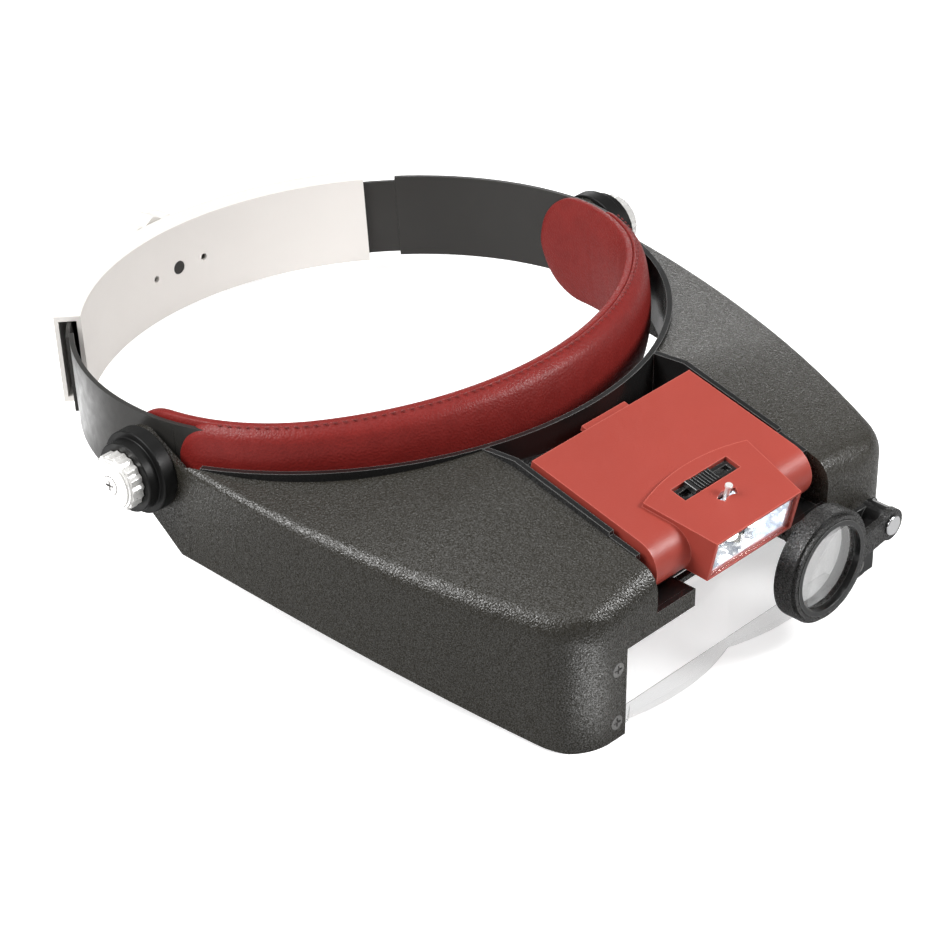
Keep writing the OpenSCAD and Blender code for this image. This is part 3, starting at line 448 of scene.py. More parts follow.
def cut(o, bm, operation="DIFFERENCE"):
    """Cuts a mesh out of the object, or joins it on."""
    tool = object_of("cutter", bm, GLOSS)
    b = o.modifiers.new("cut", "BOOLEAN")
    b.operation, b.solver, b.object = operation, "EXACT", tool
    baked(o)
    mesh = tool.data
    bpy.data.objects.remove(tool)
    bpy.data.meshes.remove(mesh)


def block_mesh(low, high):
    """A box between two corners."""
    bm = bmesh.new()
    bmesh.ops.create_cube(bm, size=1)
    for v in bm.verts:
        v.co = Vector([lo + (c + 0.5) * (hi - lo) for lo, hi, c in zip(low, high, v.co)])
    return bm


def prism_mesh(outline, axis_low, axis_high):
    """A YZ outline extruded along X."""
    bm = bmesh.new()
    a = [bm.verts.new((axis_low, y, z)) for y, z in outline]
    b = [bm.verts.new((axis_high, y, z)) for y, z in outline]
    bm.faces.new(a)
    bm.faces.new(list(reversed(b)))
    for i in range(len(a)):
        j = (i + 1) % len(a)
        bm.faces.new((a[j], a[i], b[i], b[j]))
    bmesh.ops.recalc_face_normals(bm, faces=bm.faces)
    return bm


def disc_mesh(centre, radius, axis, low, high, sides):
    """A round bar along axis 1 (Y) or 2 (Z)."""
    bm = bmesh.new()
    x, y, z = centre
    rings = []
    for h in (low, high):
        ring = []
        for i in range(sides):
            a = 2 * math.pi * i / sides
            p, q = radius * math.cos(a), radius * math.sin(a)
            at = (x + p, h, z + q) if axis == 1 else (x + p, y + q, h)
            ring.append(bm.verts.new(at))
        rings.append(ring)
    bm.faces.new(rings[0])
    bm.faces.new(list(reversed(rings[1])))
    for i in range(sides):
        j = (i + 1) % sides
        bm.faces.new((rings[0][j], rings[0][i], rings[1][i], rings[1][j]))
    bmesh.ops.recalc_face_normals(bm, faces=bm.faces)
    return bm


def loft_mesh(rings):
    """A closed solid through rings of points."""
    bm = bmesh.new()
    rows = [[bm.verts.new(p) for p in ring] for ring in rings]
    n = len(rows[0])
    for a, b in zip(rows, rows[1:]):
        for j in range(n):
            k = (j + 1) % n
            bm.faces.new((a[j], a[k], b[k], b[j]))
    bm.faces.new(list(reversed(rows[0])))
    bm.faces.new(rows[-1])
    bmesh.ops.recalc_face_normals(bm, faces=bm.faces)
    return bm


# Visor shell: the moulded roof and side walls, in the visor's millimetres
HALF_FRONT, HALF_REAR, CORNER_R, EDGE_R, SHELL_T = 73.5, 103.2, 20.0, 6.0, 2.2
SIDE_Z, SIDE_RISE, CROWN_Z, CROWN_END, CROWN_SLOPE = 45.5, 0.09, 53.6, 58.0, math.tan(BOX_SLOPE)
SKIRT_RISE, SKIRT_POWER, HEEL_Y, HEEL_SLOPE = 24.5, 1.8, 5.0, math.tan(math.radians(5.0))
EAR_Y, EAR_R, EAR_LAP, STUD_BORE_R = 140.0, 13.0, 4, 2.56
RIM_Y, RIM_SIDE, LINER_T = 65.0, 15.2, 2.0
RIM_DEEP = PIVOT_Y - RIM_Y - RIM_SIDE
RIM_R = ((HALF_REAR - SHELL_T) ** 2 + RIM_DEEP ** 2) / (2 * RIM_DEEP)
RIM_C = RIM_Y + RIM_R
SIDE_R = (EAR_Y ** 2 + (HALF_REAR - HALF_FRONT) ** 2) / (2 * (HALF_REAR - HALF_FRONT))
SIDE_C = HALF_REAR - SIDE_R
CORNER_X = SIDE_C + math.sqrt((SIDE_R - CORNER_R) ** 2 - (EAR_Y - CORNER_R) ** 2)
CORNER_END = EAR_Y - (EAR_Y - CORNER_R) * SIDE_R / (SIDE_R - CORNER_R)

# The long edge gets sharper: from where, over what length and by what share
SHARPER_FROM, SHARPER_RUN, SHARPER_BY = 12, 110, 0.62

# Lens window, the open bar over it, the pocket of the lamp box and the lugs beside its nose
WINDOW_W, WINDOW_H, BAR_IN, BAR_Z, POCKET_OUT = 53.7, 31.0, 22.9, 37.3, 40.6
SCREW_X, SCREW_ZS, SCREW_HEAD_R = 57.6, (6.1, 25.4), 2.6
LUG_OUT, LUG_BACK, LUG_T, LEDGE_BACK, LEDGE_T = 38.1, 9.5, 1.8, 12.4, 2.2
LEDGE_LOW, LEDGE_TOP = WINDOW_H + 0.3, WINDOW_H + 2.1
LUG_SIDES = (-LUG_OUT, -BAR_IN), (BAR_IN, LUG_OUT)

# The pocket's cheeks rise in two steps: front, back and top of each
CHEEK_STEPS = (SHELL_T - 1, 4, 47.8), (3.5, 11, 49.8)
CHEEK_IN, CHEEK_OUT = POCKET_OUT + 0.05, POCKET_OUT + 1.8

# The glossy tops of the lugs end here
GLOSS_OUT, GLOSS_BACK = 40, 9.6

# How far the cutters reach: past the front, below, above and to the sides
PAST, BELOW, ABOVE, BESIDE = 5, -30, 90, 130


def half_w(y):
    """Half the width of the shell at y: a round front corner, then the flared side."""
    if y < CORNER_END:
        return CORNER_X + math.sqrt(max(0, CORNER_R ** 2 - (CORNER_R - y) ** 2))
    return SIDE_C + math.sqrt(SIDE_R ** 2 - (EAR_Y - min(y, EAR_Y)) ** 2)


def roof(x, y, w):
    """Height of the crowned top, which falls to the side walls and over the front edge."""
    drop = EDGE_R - math.sqrt(max(0, EDGE_R ** 2 - (EDGE_R - y) ** 2)) if y < EDGE_R else 0
    side = SIDE_Z + SIDE_RISE * y
    mid = CROWN_Z + CROWN_SLOPE * min(y, CROWN_END)
    return side + (mid - side) * (1 - x * x / (w * w)) - drop


def edge_of(y):
    """Radius of the long edge, which is sharper towards the ears."""
    along = min(1, max(0, (y - SHARPER_FROM) / SHARPER_RUN))
    return EDGE_R * (1 - SHARPER_BY * along ** 0.8)


def skin_ring(y, inset, low, place):
    """Section of the shell at y, open below, drawn in by the inset."""
    w, edge = half_w(y), edge_of(y)
    xs = [w - edge + edge * math.sin(math.radians(a)) for a in range(90, -1, -9)]
    xs += [(w - edge) * f for f in (0.84, 0.67, 0.5, 0.34, 0.17, 0)]
    right = []
    for x in xs:
        fall = edge - math.sqrt(max(0, edge ** 2 - (x - w + edge) ** 2)) if x > w - edge else 0
        right.append((x * (w - inset) / w, roof(x, y, w) - fall - inset))
    wall = [(w - inset, low + (right[0][1] - low) * f) for f in (0, 0.33, 0.66)]
    half = wall + right
    ring = [(-x, z) for x, z in half[:1]] + half + [(-x, z) for x, z in reversed(half[1:-1])]
    return [(x, place, z) for x, z in ring]


def skin_mesh(ys, inset, shift, low):
    return loft_mesh([skin_ring(y, inset, low, y + shift) for y in ys])


def skirt(y):
    """Height of the side wall's lower edge."""
    z0 = HEEL_Y * HEEL_SLOPE
    f = max(0, 1 - (y - HEEL_Y) / (EAR_Y - HEEL_Y)) ** SKIRT_POWER
    return z0 + (SKIRT_RISE - z0) * (1 - f)


def ear_mesh(side):
    """Round ear at the pivot, tangent to the side wall."""
    corner = Vector((EAR_Y, SKIRT_RISE))
    reach = Vector((PIVOT_Y, PIVOT_UP)) - corner
    lean = math.atan2(reach.y, reach.x) - math.asin(EAR_R / reach.length)
    top = SIDE_Z + SIDE_RISE * EAR_Y
    outline = [(EAR_Y - EAR_LAP, SKIRT_RISE), (EAR_Y, SKIRT_RISE)]
    for i in range(25):
        a = lean - math.pi / 2 + (math.pi - lean) * i / 24
        outline.append((PIVOT_Y + EAR_R * math.cos(a), PIVOT_UP + EAR_R * math.sin(a)))
    outline += [(EAR_Y - 1, top - 1.5), (EAR_Y - EAR_LAP, top - EDGE_R)]
    low, high = sorted((side * (HALF_REAR - SHELL_T), side * HALF_REAR))
    return prism_mesh(outline, low, high)


def skin_places():
    """Sections close together round the front edge and corners, wider apart behind."""
    ys = [EDGE_R * (1 - math.cos(math.radians(a))) for a in range(0, 91, 9)]
    ys += [8, 10.5, 13.5, 16.5, CORNER_END]
    ys += [CORNER_END + (CROWN_END - CORNER_END) * f for f in (0.2, 0.4, 0.6, 0.8, 1)]
    ys += [CROWN_END + (EAR_Y - CROWN_END) * i / 12 for i in range(1, 13)]
    return sorted(set(round(y, 5) for y in ys))


def shell_outline(o):
    """Hollows the skin and trims it to the brow rim and the skirt."""
    cut(o, skin_mesh(skin_places() + [EAR_Y + 10], SHELL_T, SHELL_T, -25))
    cut(o, disc_mesh((0, RIM_C, 0), RIM_R + LINER_T, 2, BELOW, ABOVE + 20, 240))
    run = [HEEL_Y + (EAR_Y - HEEL_Y) * k / 40 for k in range(40)]
    foot = [(-PAST, BELOW), (-PAST, -PAST * HEEL_SLOPE)] + [(y, skirt(y)) for y in run]
    foot += [(EAR_Y, SKIRT_RISE), (EAR_Y + 60, SKIRT_RISE), (EAR_Y + 60, BELOW)]
    cut(o, prism_mesh(foot, -BESIDE, BESIDE))


def shell_openings(o):
    """Window, pocket and screw seats; the ears are joined on with them."""
    cut(o, block_mesh((-WINDOW_W, -PAST, -1), (WINDOW_W, PAST, WINDOW_H)))
    cut(o, block_mesh((-BAR_IN, -PAST, PAST), (BAR_IN, PAST, ABOVE)))
    cut(o, block_mesh((-POCKET_OUT, -PAST, BAR_Z), (POCKET_OUT, ABOVE, ABOVE)))
    for s in (-1, 1):
        for z in SCREW_ZS:
            cut(o, disc_mesh((s * SCREW_X, 0, z), SCREW_HEAD_R, 1, -2, 1.0, 32))
        cut(o, ear_mesh(s), "UNION")


def shell_lugs(o):
    """Ledge, lugs and cheeks round the lamp box's nose."""
    front = SHELL_T - 1
    for low, high in LUG_SIDES:
        cut(o, block_mesh((low, front, LEDGE_LOW), (high, LEDGE_BACK, LEDGE_TOP)), "UNION")
    for s in (-1, 1):
        for y0, y1, top in CHEEK_STEPS:
            low, high = sorted((s * CHEEK_IN, s * CHEEK_OUT))
            cut(o, block_mesh((low, y0, LEDGE_LOW), (high, y1, top)), "UNION")
    for low, high in LUG_SIDES:
        cut(o, block_mesh((low, front, BAR_Z - LUG_T), (high, LUG_BACK, BAR_Z - 0.03)), "UNION")
    low = (-BAR_IN - 1, LEDGE_BACK - LEDGE_T, LEDGE_LOW)
    cut(o, block_mesh(low, (BAR_IN + 1, LEDGE_BACK, LEDGE_TOP)), "UNION")


def shell_bores(o):
    """Bores for the pivot studs."""
    for s in (-1, 1):
        bm = disc_mesh((0, 0, 0), STUD_BORE_R, 1, HALF_REAR - PAST, HALF_REAR + PAST, 48)
        for v in bm.verts:
            v.co = Vector((s * v.co.y, PIVOT_Y + v.co.x, PIVOT_UP + v.co.z))
        bmesh.ops.recalc_face_normals(bm, faces=bm.faces)
        cut(o, bm)


def make_shell():
    o = object_of("visor_skin", skin_mesh(skin_places(), 0, 0, -20), SHELL)
    shell_outline(o)
    shell_openings(o)
    shell_lugs(o)
    shell_bores(o)
    o.data.materials.append(GLOSS)
    for face in o.data.polygons:
        c = face.center
        on_lug = BAR_IN < abs(c.x) < GLOSS_OUT and c.y < GLOSS_BACK
        if on_lug and abs(c.z - BAR_Z) < 0.1 and face.normal.z > 0.9:
            face.material_index = 1
    o.data.transform(VISOR)
    bm = bmesh.new()
    bm.from_mesh(o.data)
    bmesh.ops.remove_doubles(bm, verts=bm.verts, dist=2 * MERGE_M)
    bm.to_mesh(o.data)
    bm.free()
    bevelled(o, 0.35, 2, 50)
    smoothed(o, 30)
    evened(o)
    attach(o, "visor")
    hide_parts("visor_shell")


make_shell()

# Headband path, in the band's millimetres: a front arc, two tighter bends and a rear half circle
HALF_STRAP, LOOP_BACK, FRONT_LEN, SIDE_BEND, STRAP_T, STRAP_H = 97.2, 3.0, 77.5, 66.0, 1.6, 30.0
FRONT_CX = HALF_STRAP - SIDE_BEND
FRONT_R = (FRONT_CX ** 2 + FRONT_LEN ** 2 - SIDE_BEND ** 2) / (2 * (FRONT_LEN - SIDE_BEND))
FRONT_HALF = math.atan2(FRONT_CX, FRONT_R - FRONT_LEN)
FRONT_CY = LOOP_BACK + FRONT_R - FRONT_LEN


def path_at(s):
    """Place on the strap's inner face and its outward normal, at arc length s."""
    front = FRONT_R * FRONT_HALF
    side = SIDE_BEND * (math.pi / 2 - FRONT_HALF)
    over, sign = abs(s) - front, -1 if s < 0 else 1
    past = over - side
    if past > 0:
        a, c, r = past / HALF_STRAP, (0, LOOP_BACK), HALF_STRAP
    elif over > 0:
        a, c, r = -math.pi / 2 + FRONT_HALF + over / SIDE_BEND, (FRONT_CX, LOOP_BACK), SIDE_BEND
    else:
        a, c, r = -math.pi / 2 + abs(s) / FRONT_R, (0, FRONT_CY), FRONT_R
    x, y = c[0] + r * math.cos(a), c[1] + r * math.sin(a)
    return Vector((sign * x, y, 0)), Vector((sign * math.cos(a), math.sin(a), 0))


def strap_point(s, d, z):
    """A point at arc length s, at distance d outside the strap's inner face and at height z."""
    p, n = path_at(s)
    return p + n * d + Vector((0, 0, z))


# Forehead pad: crowned inner cushion with rounded ends, and the puffed outer cover
SIDE_LEN = FRONT_R * FRONT_HALF + SIDE_BEND * (math.pi / 2 - FRONT_HALF)
PAD_HALF = SIDE_LEN + 15 - LOOP_BACK
PAD_RINGS, PAD_SIDES, PAD_END_R, PAD_H, PAD_MID = 150, 40, 18.5, 38.8, -2.65
PAD_GAP, PAD_THIN, PAD_CROWN = 0.3, 2.0, 2.7
COVER_HALF = SIDE_LEN - 10 - LOOP_BACK
COVER_TOP, COVER_LOW = STRAP_H / 2 + 1.9, -STRAP_H / 2 + 1.2
COVER_STEPS, COVER_END_R, COVER_OFF, COVER_PUFF, COVER_FADE = 24, 11, 0.75, 2.4, 75


def swell(v, e):
    """A power that keeps the sign; below 1 it squares a circle."""
    return math.copysign(abs(v) ** e, v)


def end_fade(s, half, radius):
    """From 1 to 0 along the rounded end."""
    e = max(0.0, abs(s) - half + radius) / radius
    return math.sqrt(max(0.0, 1 - e * e))


def cushion_rings():
    rings = []
    for i in range(PAD_RINGS + 1):
        s = PAD_HALF * math.sin(math.pi * (i / PAD_RINGS - 0.5))
        k = max(0.03, end_fade(s, PAD_HALF, PAD_END_R))
        thick = PAD_THIN + PAD_CROWN * k ** 0.7
        high = PAD_H * k
        ring = []
        for j in range(PAD_SIDES):
            a = 2 * math.pi * j / PAD_SIDES
            c, q = math.cos(a), math.sin(a)
            d = -PAD_GAP - thick / 2 + thick / 2 * swell(c, 0.55 if c < 0 else 0.25)
            pull = 1 - 0.35 * max(0, -c) * abs(q) ** 3
            z = PAD_MID + high / 2 * swell(q, 0.8 if c < 0 else 0.5)
            ring.append(strap_point(s, -PAD_GAP + (d + PAD_GAP) * pull, z))
        rings.append(ring)
    return rings


def cover_rings():
    rings = []
    mid, off = (COVER_TOP + COVER_LOW) / 2, STRAP_T + COVER_OFF
    for i in range(PAD_RINGS + 1):
        s = COVER_HALF * math.sin(math.pi * (i / PAD_RINGS - 0.5))
        k = max(0.05, end_fade(s, COVER_HALF, COVER_END_R))
        fade = min(1, ((COVER_HALF - abs(s)) / COVER_FADE) ** 1.4)
        puff = COVER_PUFF * k ** 0.6 * (0.2 + 0.8 * fade)
        half = (COVER_TOP - COVER_LOW) / 2 * (0.25 + 0.75 * k)
        outer, inner = [], []
        for j in range(COVER_STEPS + 1):
            f = -1 + 2 * j / COVER_STEPS
            bulge = (1 - abs(f) ** 2.6) ** 0.8
            base = off if f < 0.8 else off - (f - 0.8) / 0.2 * 2.3
            outer.append((base + puff * bulge, mid + half * f))
        for j in range(COVER_STEPS, -1, -1):
            f = -1 + 2 * j / COVER_STEPS
            base = STRAP_T + 0.3 if mid + half * f < STRAP_H / 2 + 0.25 else -1.0
            inner.append((min(base, outer[j][0] - 0.35), mid + half * f * 0.985))
        rings.append([strap_point(s, d, z) for d, z in outer + inner])
    return rings


# The cloth is simulated at a larger scale, over a few frames
CLOTH_SCALE, CLOTH_FRAMES, CLOTH_PRESSURE = 20, 15, 5


def puffed(o, held, cap):
    """Cloth under air pressure, held at its seam, applied with moves of at most cap."""
    scene = bpy.context.scene
    o.data.transform(Matrix.Scale(CLOTH_SCALE, 4))
    group = o.vertex_groups.new(name="seam")
    group.add(held, 1.0, "REPLACE")
    start = [v.co.copy() for v in o.data.vertices]
    c = o.modifiers.new("fabric", "CLOTH")
    c.settings.vertex_group_mass = "seam"
    c.settings.use_pressure = True
    c.settings.uniform_pressure_force = CLOTH_PRESSURE
    c.settings.effector_weights.gravity = 0
    scene.frame_start, scene.frame_end = 1, CLOTH_FRAMES
    c.point_cache.frame_start, c.point_cache.frame_end = 1, CLOTH_FRAMES
    for f in range(1, CLOTH_FRAMES + 1):
        scene.frame_set(f)
    baked(o)
    scene.frame_set(1)
    most = max((v.co - p).length for v, p in zip(o.data.vertices, start)) / CLOTH_SCALE
    share = min(1.0, cap / most)
    for v, p in zip(o.data.vertices, start):
        v.co = p + (v.co - p) * share
    o.data.transform(Matrix.Scale(1 / CLOTH_SCALE, 4))
    e = o.modifiers.new("fine", "SUBSURF")
    e.levels = e.render_levels = 1
    baked(o)


def soft_piece(name, rings, node, free, cap):
    """A padded piece; free are the places in each ring that may move, cap is in metres."""
    o = object_of(name, loft_mesh(rings), LEATHER)
    o.data.transform(BAND)
    sides, last = len(rings[0]), len(rings) - 3
    places = [(i, i % sides, i // sides) for i in range(len(o.data.vertices))]
    held = [i for i, at, ring in places if at not in free or not 2 < ring < last]
    puffed(o, held, cap)
    smoothed(o, 60)
    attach(o, "headband")
    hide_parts(node)
    return o


soft_piece("pad_cushion", cushion_rings(), "forehead_pad", range(12, 29), 0.0013)
soft_piece("pad_cover", cover_rings(), "pad_wrap", range(3, 21), 0.0008)


# Stitches: one small capsule repeated along a seam by Geometry Nodes
def stitch_tree():
    g = bpy.data.node_groups.new("stitch_row", "GeometryNodeTree")
    face = g.interface
    face.new_socket(name="Geometry", in_out="INPUT", socket_type="NodeSocketGeometry")
    for name, value in (("Pitch", 0.003), ("Stitch length", 0.0017), ("Thread radius", 0.00024)):
        s = face.new_socket(name=name, in_out="INPUT", socket_type="NodeSocketFloat")
        s.default_value = value
    s = face.new_socket(name="Seed", in_out="INPUT", socket_type="NodeSocketInt")
    s.default_value = 7
    s = face.new_socket(name="Finish", in_out="INPUT", socket_type="NodeSocketMaterial")
    face.new_socket(name="Geometry", in_out="OUTPUT", socket_type="NodeSocketGeometry")
    n, link = g.nodes, g.links.new
    start, end = n.new("NodeGroupInput"), n.new("NodeGroupOutput")
    points = n.new("GeometryNodeResampleCurve")
    points.mode = "LENGTH"
    link(start.outputs["Geometry"], points.inputs["Curve"])
    link(start.outputs["Pitch"], points.inputs["Length"])
    bar = n.new("GeometryNodeMeshUVSphere")
    bar.inputs["Segments"].default_value, bar.inputs["Rings"].default_value = 8, 6
    link(start.outputs["Thread radius"], bar.inputs["Radius"])
    ratio = node_of(g, "ShaderNodeMath", operation="DIVIDE")
    link(start.outputs["Stitch length"], ratio.inputs[0])
    link(start.outputs["Thread radius"], ratio.inputs[1])
    half = node_of(g, "ShaderNodeMath", operation="MULTIPLY")
    half.inputs[1].default_value = 0.5
    link(ratio.outputs[0], half.inputs[0])
    jitter = node_of(g, "FunctionNodeRandomValue", data_type="FLOAT")
    jitter.inputs[2].default_value, jitter.inputs[3].default_value = 0.9, 1.1
    link(start.outputs["Seed"], jitter.inputs["Seed"])
    size = node_of(g, "ShaderNodeMath", operation="MULTIPLY")
    link(half.outputs[0], size.inputs[0])
    link(jitter.outputs[1], size.inputs[1])
    scale = n.new("ShaderNodeCombineXYZ")
    scale.inputs["X"].default_value = scale.inputs["Y"].default_value = 1
    link(size.outputs[0], scale.inputs["Z"])
    tangent = n.new("GeometryNodeInputTangent")
    align = n.new("FunctionNodeAlignRotationToVector")
    align.axis = "Z"
    link(tangent.outputs[0], align.inputs["Vector"])
    put = n.new("GeometryNodeInstanceOnPoints")
    link(points.outputs["Curve"], put.inputs["Points"])
    link(bar.outputs["Mesh"], put.inputs["Instance"])
    link(align.outputs["Rotation"], put.inputs["Rotation"])
    link(scale.outputs["Vector"], put.inputs["Scale"])
    real = n.new("GeometryNodeRealizeInstances")
    link(put.outputs["Instances"], real.inputs["Geometry"])
    paint = n.new("GeometryNodeSetMaterial")
    link(real.outputs["Geometry"], paint.inputs["Geometry"])
    link(start.outputs["Finish"], paint.inputs["Material"])
    link(paint.outputs["Geometry"], end.inputs["Geometry"])
    return g


STITCHES = stitch_tree()


def stitch_row(name, route, body, finish, place):
    """Stitches along a route of millimetre points in the frame given by place."""
    curve = bpy.data.curves.new(name, "CURVE")
    curve.dimensions = "3D"
    line = curve.splines.new("POLY")
    line.points.add(len(route) - 1)
    for point, at in zip(line.points, route):
        point.co = (*(place @ Vector(at)), 1)
    guide = bpy.data.objects.new(name + "_guide", curve)
    bpy.context.scene.collection.objects.link(guide)
    m = guide.modifiers.new("stitches", "NODES")
    m.node_group = STITCHES
    for item in STITCHES.interface.items_tree:
        if item.in_out == "INPUT" and item.name == "Finish":
            m[item.identifier] = finish
    graph = bpy.context.evaluated_depsgraph_get()
    mesh = bpy.data.meshes.new_from_object(guide.evaluated_get(graph))
    mesh.name = name
    bpy.data.objects.remove(guide)
    mesh.shade_smooth()
    o = bpy.data.objects.new(name, mesh)
    bpy.context.scene.collection.objects.link(o)
    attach(o, body)
    return o


# The seam runs along the cover's top edge and stops short of its rounded ends
SEAM_END, SEAM_OFF, SEAM_Z = 14, 0.75, STRAP_H / 2 + 1.95
seam_at = [(COVER_HALF - SEAM_END) * (i / 120 - 1) for i in range(241)]
seam = [strap_point(s, SEAM_OFF, SEAM_Z) for s in seam_at]
stitch_row("top_seam_stitches", seam, "headband", THREAD, BAND)

# The lamp window is a little smaller all round, so that its faces don't lie in the housing's
WINDOW_FIT = 0.99

# Rigid pieces with softened edges: bevel in millimetres, its segments and its least angle
dressed("band_strap", BENDS, STRAP, 0.25, 2, 50)
dressed("strap_tail_left", BENDS, STRAP, 0)
dressed("strap_tail_right", BENDS, STRAP, 0)
dressed("pivot_washers", "headband", WASHER, 0.4, 3)
dressed("clamp_knob_left", "knob_left", SATIN, 0.15, 2, 50)
dressed("clamp_knob_right", "knob_right", SATIN, 0.15, 2, 50)
dressed("rear_sleeve", "sleeve", SLEEVE, 0.25, 2, 50)
dressed("ratchet_knob", "rear_knob", SLEEVE, 0.4, 2, 50)
dressed("inner_frame", "visor", GLOSS, 0.5, 3, 50)
dressed("loupe_bracket", "visor", GLOSS, 0.3, 2)
dressed("lamp_housing", "lamp_box", RED, 0.5, 3, 50)
round_tab(dressed("battery_tray", "tray", RED, 0))
dressed("switch_body", "lamp_box", GLOSS, 0.15, 1)
dressed("switch_slider", "slider", BLACK_STEEL, 0.12, 1)
shrunk(dressed("lamp_window", "lamp_box", LENS, 0.2, 2), WINDOW_FIT)
dressed("flip_frame", "flip_lens_unit", GLOSS, 0.2, 2)
dressed("loupe_ring", "loupe", RING, 0.3, 2)
dressed("lens_screws", "visor", SCREW, 0.3, 2, 50)
dressed("bracket_screws", "visor", SCREW, 0.3, 2, 50)
dressed("lever_pin", "lamp_head", SATIN, 0.35, 2, 50)
dressed("loupe_rivet", "visor", CHROME, 0.6, 3, 50)
dressed("loupe_retainer", "loupe", GLOSS, 0.1, 2)

# CAD nodes that keep their shape
for node, finish in (
    ("pivot_studs", STEEL), ("knob_screw_left", STEEL), ("knob_screw_right", STEEL),
    ("ratchet_pinion", STRAP), ("batteries", CELL), ("battery_contacts", BRASS),
    ("reflector", MIRROR), ("led_carrier", GLOSS), ("leds", LED), ("flip_lens", LENS),
    ("loupe_lens", GLASS),
):
    painted(node, finish)


# Material slots of the main lens, and the height up to which its line of painted shade is drawn
LENS_FRONT_SLOT, LENS_EDGE_SLOT, LENS_BACK_SLOT, LENS_LINE_SLOT = range(4)
LENS_LINE_TOP = 8


def make_lens():
    """The main lens: sawn edges read grey, with darker lines of painted shade along the bottom one.
    """
    o = object_of("main_lens_finish", merged("main_lens"), LENS)
    for m in (LENS_EDGE, LENS_BACK, LENS_SHADE_LINE):
        o.data.materials.append(m)
    up = (VISOR.to_3x3() @ Vector((0, 0, 1))).normalized()
    for face in o.data.polygons:
        if abs(face.normal.dot(up)) > 0.9:
            face.material_index = LENS_EDGE_SLOT
        elif face.normal.y > 0.7:
            face.material_index = LENS_BACK_SLOT
    bevelled(o, 0.35, 2, 50, material=LENS_LINE_SLOT)
    smoothed(o)
    back = VISOR.inverted()
    for face in o.data.polygons:
        high = (back @ face.center).z > LENS_LINE_TOP
        if high and face.material_index == LENS_LINE_SLOT:
            face.material_index = LENS_FRONT_SLOT
    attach(o, "visor")
    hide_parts("main_lens")


make_lens()


def dark_reflector_top():
    """The reflector's outer top gets the gloss black finish, so the lever slot shows dark."""
    mirror = NODES["reflector"].data
    mirror.materials.append(GLOSS)
    to_box = BOX.inverted()
    heights = [(to_box @ v.co).z for v in mirror.vertices]
    crest = (max(heights) + min(heights)) / 2
    way_up = (BOX.to_3x3() @ Vector((0, 0, 1))).normalized()
    for face in mirror.polygons:
        if (to_box @ face.center).z > crest and face.normal.dot(way_up) > 0.3:
            face.material_index = 1


dark_reflector_top()


# Floor, backdrop and light
# Floor colours: pale, the painted shade it shows in reflections, and white
PALE, PAINTED_REFLECTION_SHADE, WHITE = (0.86, 0.86, 0.86), (0.3, 0.3, 0.3), (1, 1, 1)
FLOOR_GLOW, SKY_GLOW = 0.6, 0.3

# The floor's near edge, the start and radius of its rise, the wall's top, half the width, the
# turn towards the camera in degrees, and how far the floor lies below the part
SWEEP_FRONT, SWEEP_AT, SWEEP_R, SWEEP_TOP, SWEEP_HALF, SWEEP_TURN = -3.0, 1.6, 0.8, 3.0, 4, -46.8
FLOOR_SINK = 0.00002


def painted_highlight_spot(t, coords, place, inner, outer, middle=1, rest=0):
    """Falls from middle to rest between two distances from a place."""
    n = node_of(t, "ShaderNodeVectorMath", operation="DISTANCE")
    t.links.new(coords, n.inputs[0])
    n.inputs[1].default_value = place
    return spread(t, n.outputs["Value"], inner, outer, middle, rest)


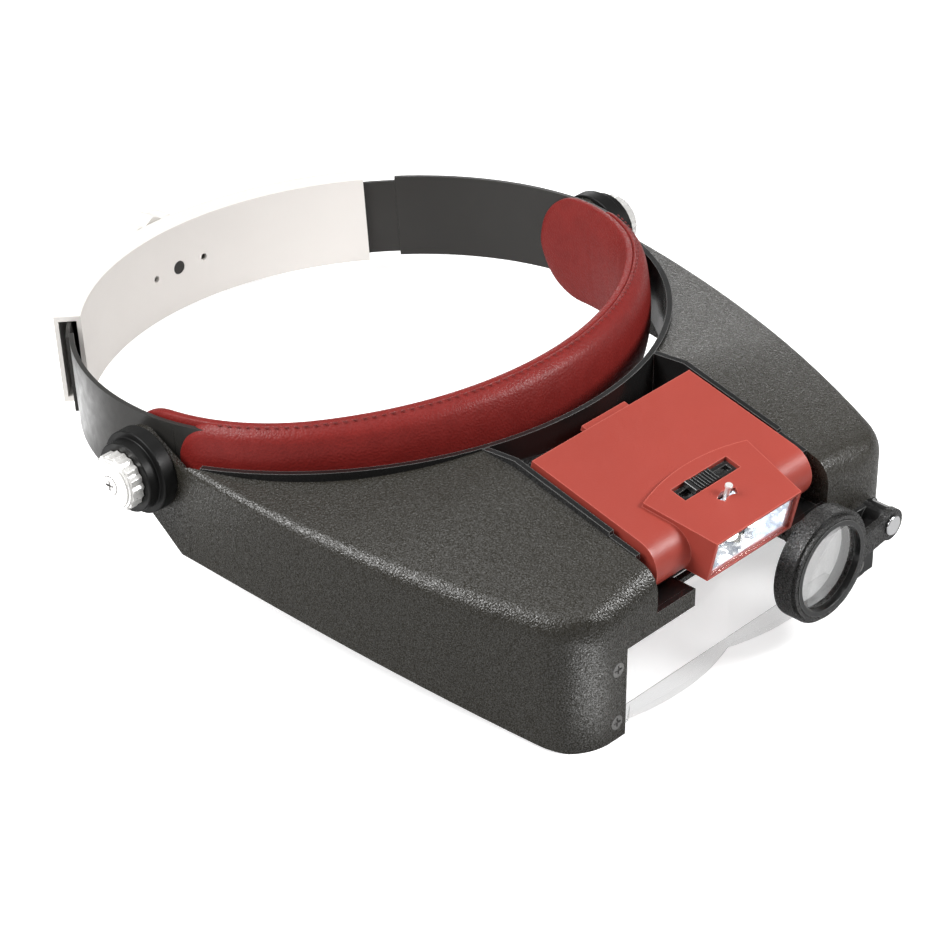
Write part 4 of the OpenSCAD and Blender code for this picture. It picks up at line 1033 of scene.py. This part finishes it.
def floor_finish():
    """A pale floor; reflections see it painted darker, with three painted highlights that only they
    show.
    """
    m, t, s, co = finish_of("pale_floor", PALE, 0.75)
    rays = t.nodes.new("ShaderNodeLightPath")
    seen = node_of(t, "ShaderNodeMath", operation="MAXIMUM")
    t.links.new(rays.outputs["Is Camera Ray"], seen.inputs[0])
    t.links.new(rays.outputs["Is Transmission Ray"], seen.inputs[1])
    # Three painted highlights that only reflections show: by the front corner, the knob and the
    # strap
    by_corner = painted_highlight_spot(t, co, (-0.066, -0.174, 0), 0.01, 0.038, 4.5, 0.12)
    by_knob = painted_highlight_spot(t, co, (-0.076, 0.112, 0), 0.008, 0.036)
    by_strap = painted_highlight_spot(t, co, (-0.165, 0.061, 0), 0.012, 0.032)
    glint = total(t, total(t, by_corner, by_knob, 2.0), by_strap, 4)
    # Glossy rays see the floor darker: painted shade in reflections
    t.links.new(tint(t, rays.outputs["Is Glossy Ray"], PALE, PAINTED_REFLECTION_SHADE), s.inputs["Base Color"])
    mirrored = node_of(t, "ShaderNodeMath", operation="MULTIPLY")
    t.links.new(glint, mirrored.inputs[0])
    t.links.new(rays.outputs["Is Glossy Ray"], mirrored.inputs[1])
    level = total(t, mirrored.outputs[0], seen.outputs[0], FLOOR_GLOW)
    s.inputs["Emission Color"].default_value = (*WHITE, 1)
    t.links.new(level, s.inputs["Emission Strength"])
    return m


def make_stage():
    """A floor that sweeps up into a wall, square to the camera, under an even sky."""
    bm = bmesh.new()
    angles = [math.pi / 2 * i / 16 for i in range(1, 17)]
    profile = [(SWEEP_FRONT, 0.0), (SWEEP_AT, 0.0)]
    profile += [(SWEEP_AT + SWEEP_R * math.sin(a), SWEEP_R - SWEEP_R * math.cos(a)) for a in angles]
    profile += [(SWEEP_AT + SWEEP_R, SWEEP_TOP)]
    turn = Matrix.Rotation(math.radians(SWEEP_TURN), 4, "Z")
    rows = [
        [bm.verts.new(turn @ Vector((x, y, z - FLOOR_SINK))) for x in (-SWEEP_HALF, SWEEP_HALF)]
        for y, z in profile]
    for a, b in zip(rows, rows[1:]):
        bm.faces.new((a[0], a[1], b[1], b[0]))
    o = object_of("floor", bm, floor_finish())
    o.data.shade_smooth()
    world = bpy.data.worlds.new("studio")
    bpy.context.scene.world = world
    world.use_nodes = True
    sky = world.node_tree.nodes["Background"]
    sky.inputs["Color"].default_value = (*WHITE, 1)
    sky.inputs["Strength"].default_value = SKY_GLOW


def soft_box(name, at, look, size, power, tall=None):
    """A lamp at one place that faces another; size is in metres and power in watts."""
    data = bpy.data.lights.new(name, "AREA")
    data.shape, data.size, data.size_y = "RECTANGLE", size, tall or size
    data.energy = power
    o = bpy.data.objects.new(name, data)
    o.location = at
    o.rotation_mode = "QUATERNION"
    o.rotation_quaternion = (Vector(look) - Vector(at)).to_track_quat("-Z", "Y")
    bpy.context.scene.collection.objects.link(o)


make_stage()
soft_box("top_box", (0.0, 0.2, 1.2), (0, 0, 0.03), size=0.9, power=4)
soft_box("ridge_box", (-0.92, 0.42, 0.99), (-0.07, -0.05, 0.04), size=0.75, power=21)
soft_box("edge_box", (0.217, -0.339, 0.315), (-0.06, -0.13, 0.045), size=0.16, power=1.7)
soft_box("far_box", (1.25, 0.9, 0.16), (0.08, -0.05, 0.05), size=0.7, power=2.5, tall=0.3)
bpy.context.scene.view_settings.view_transform = "Standard"
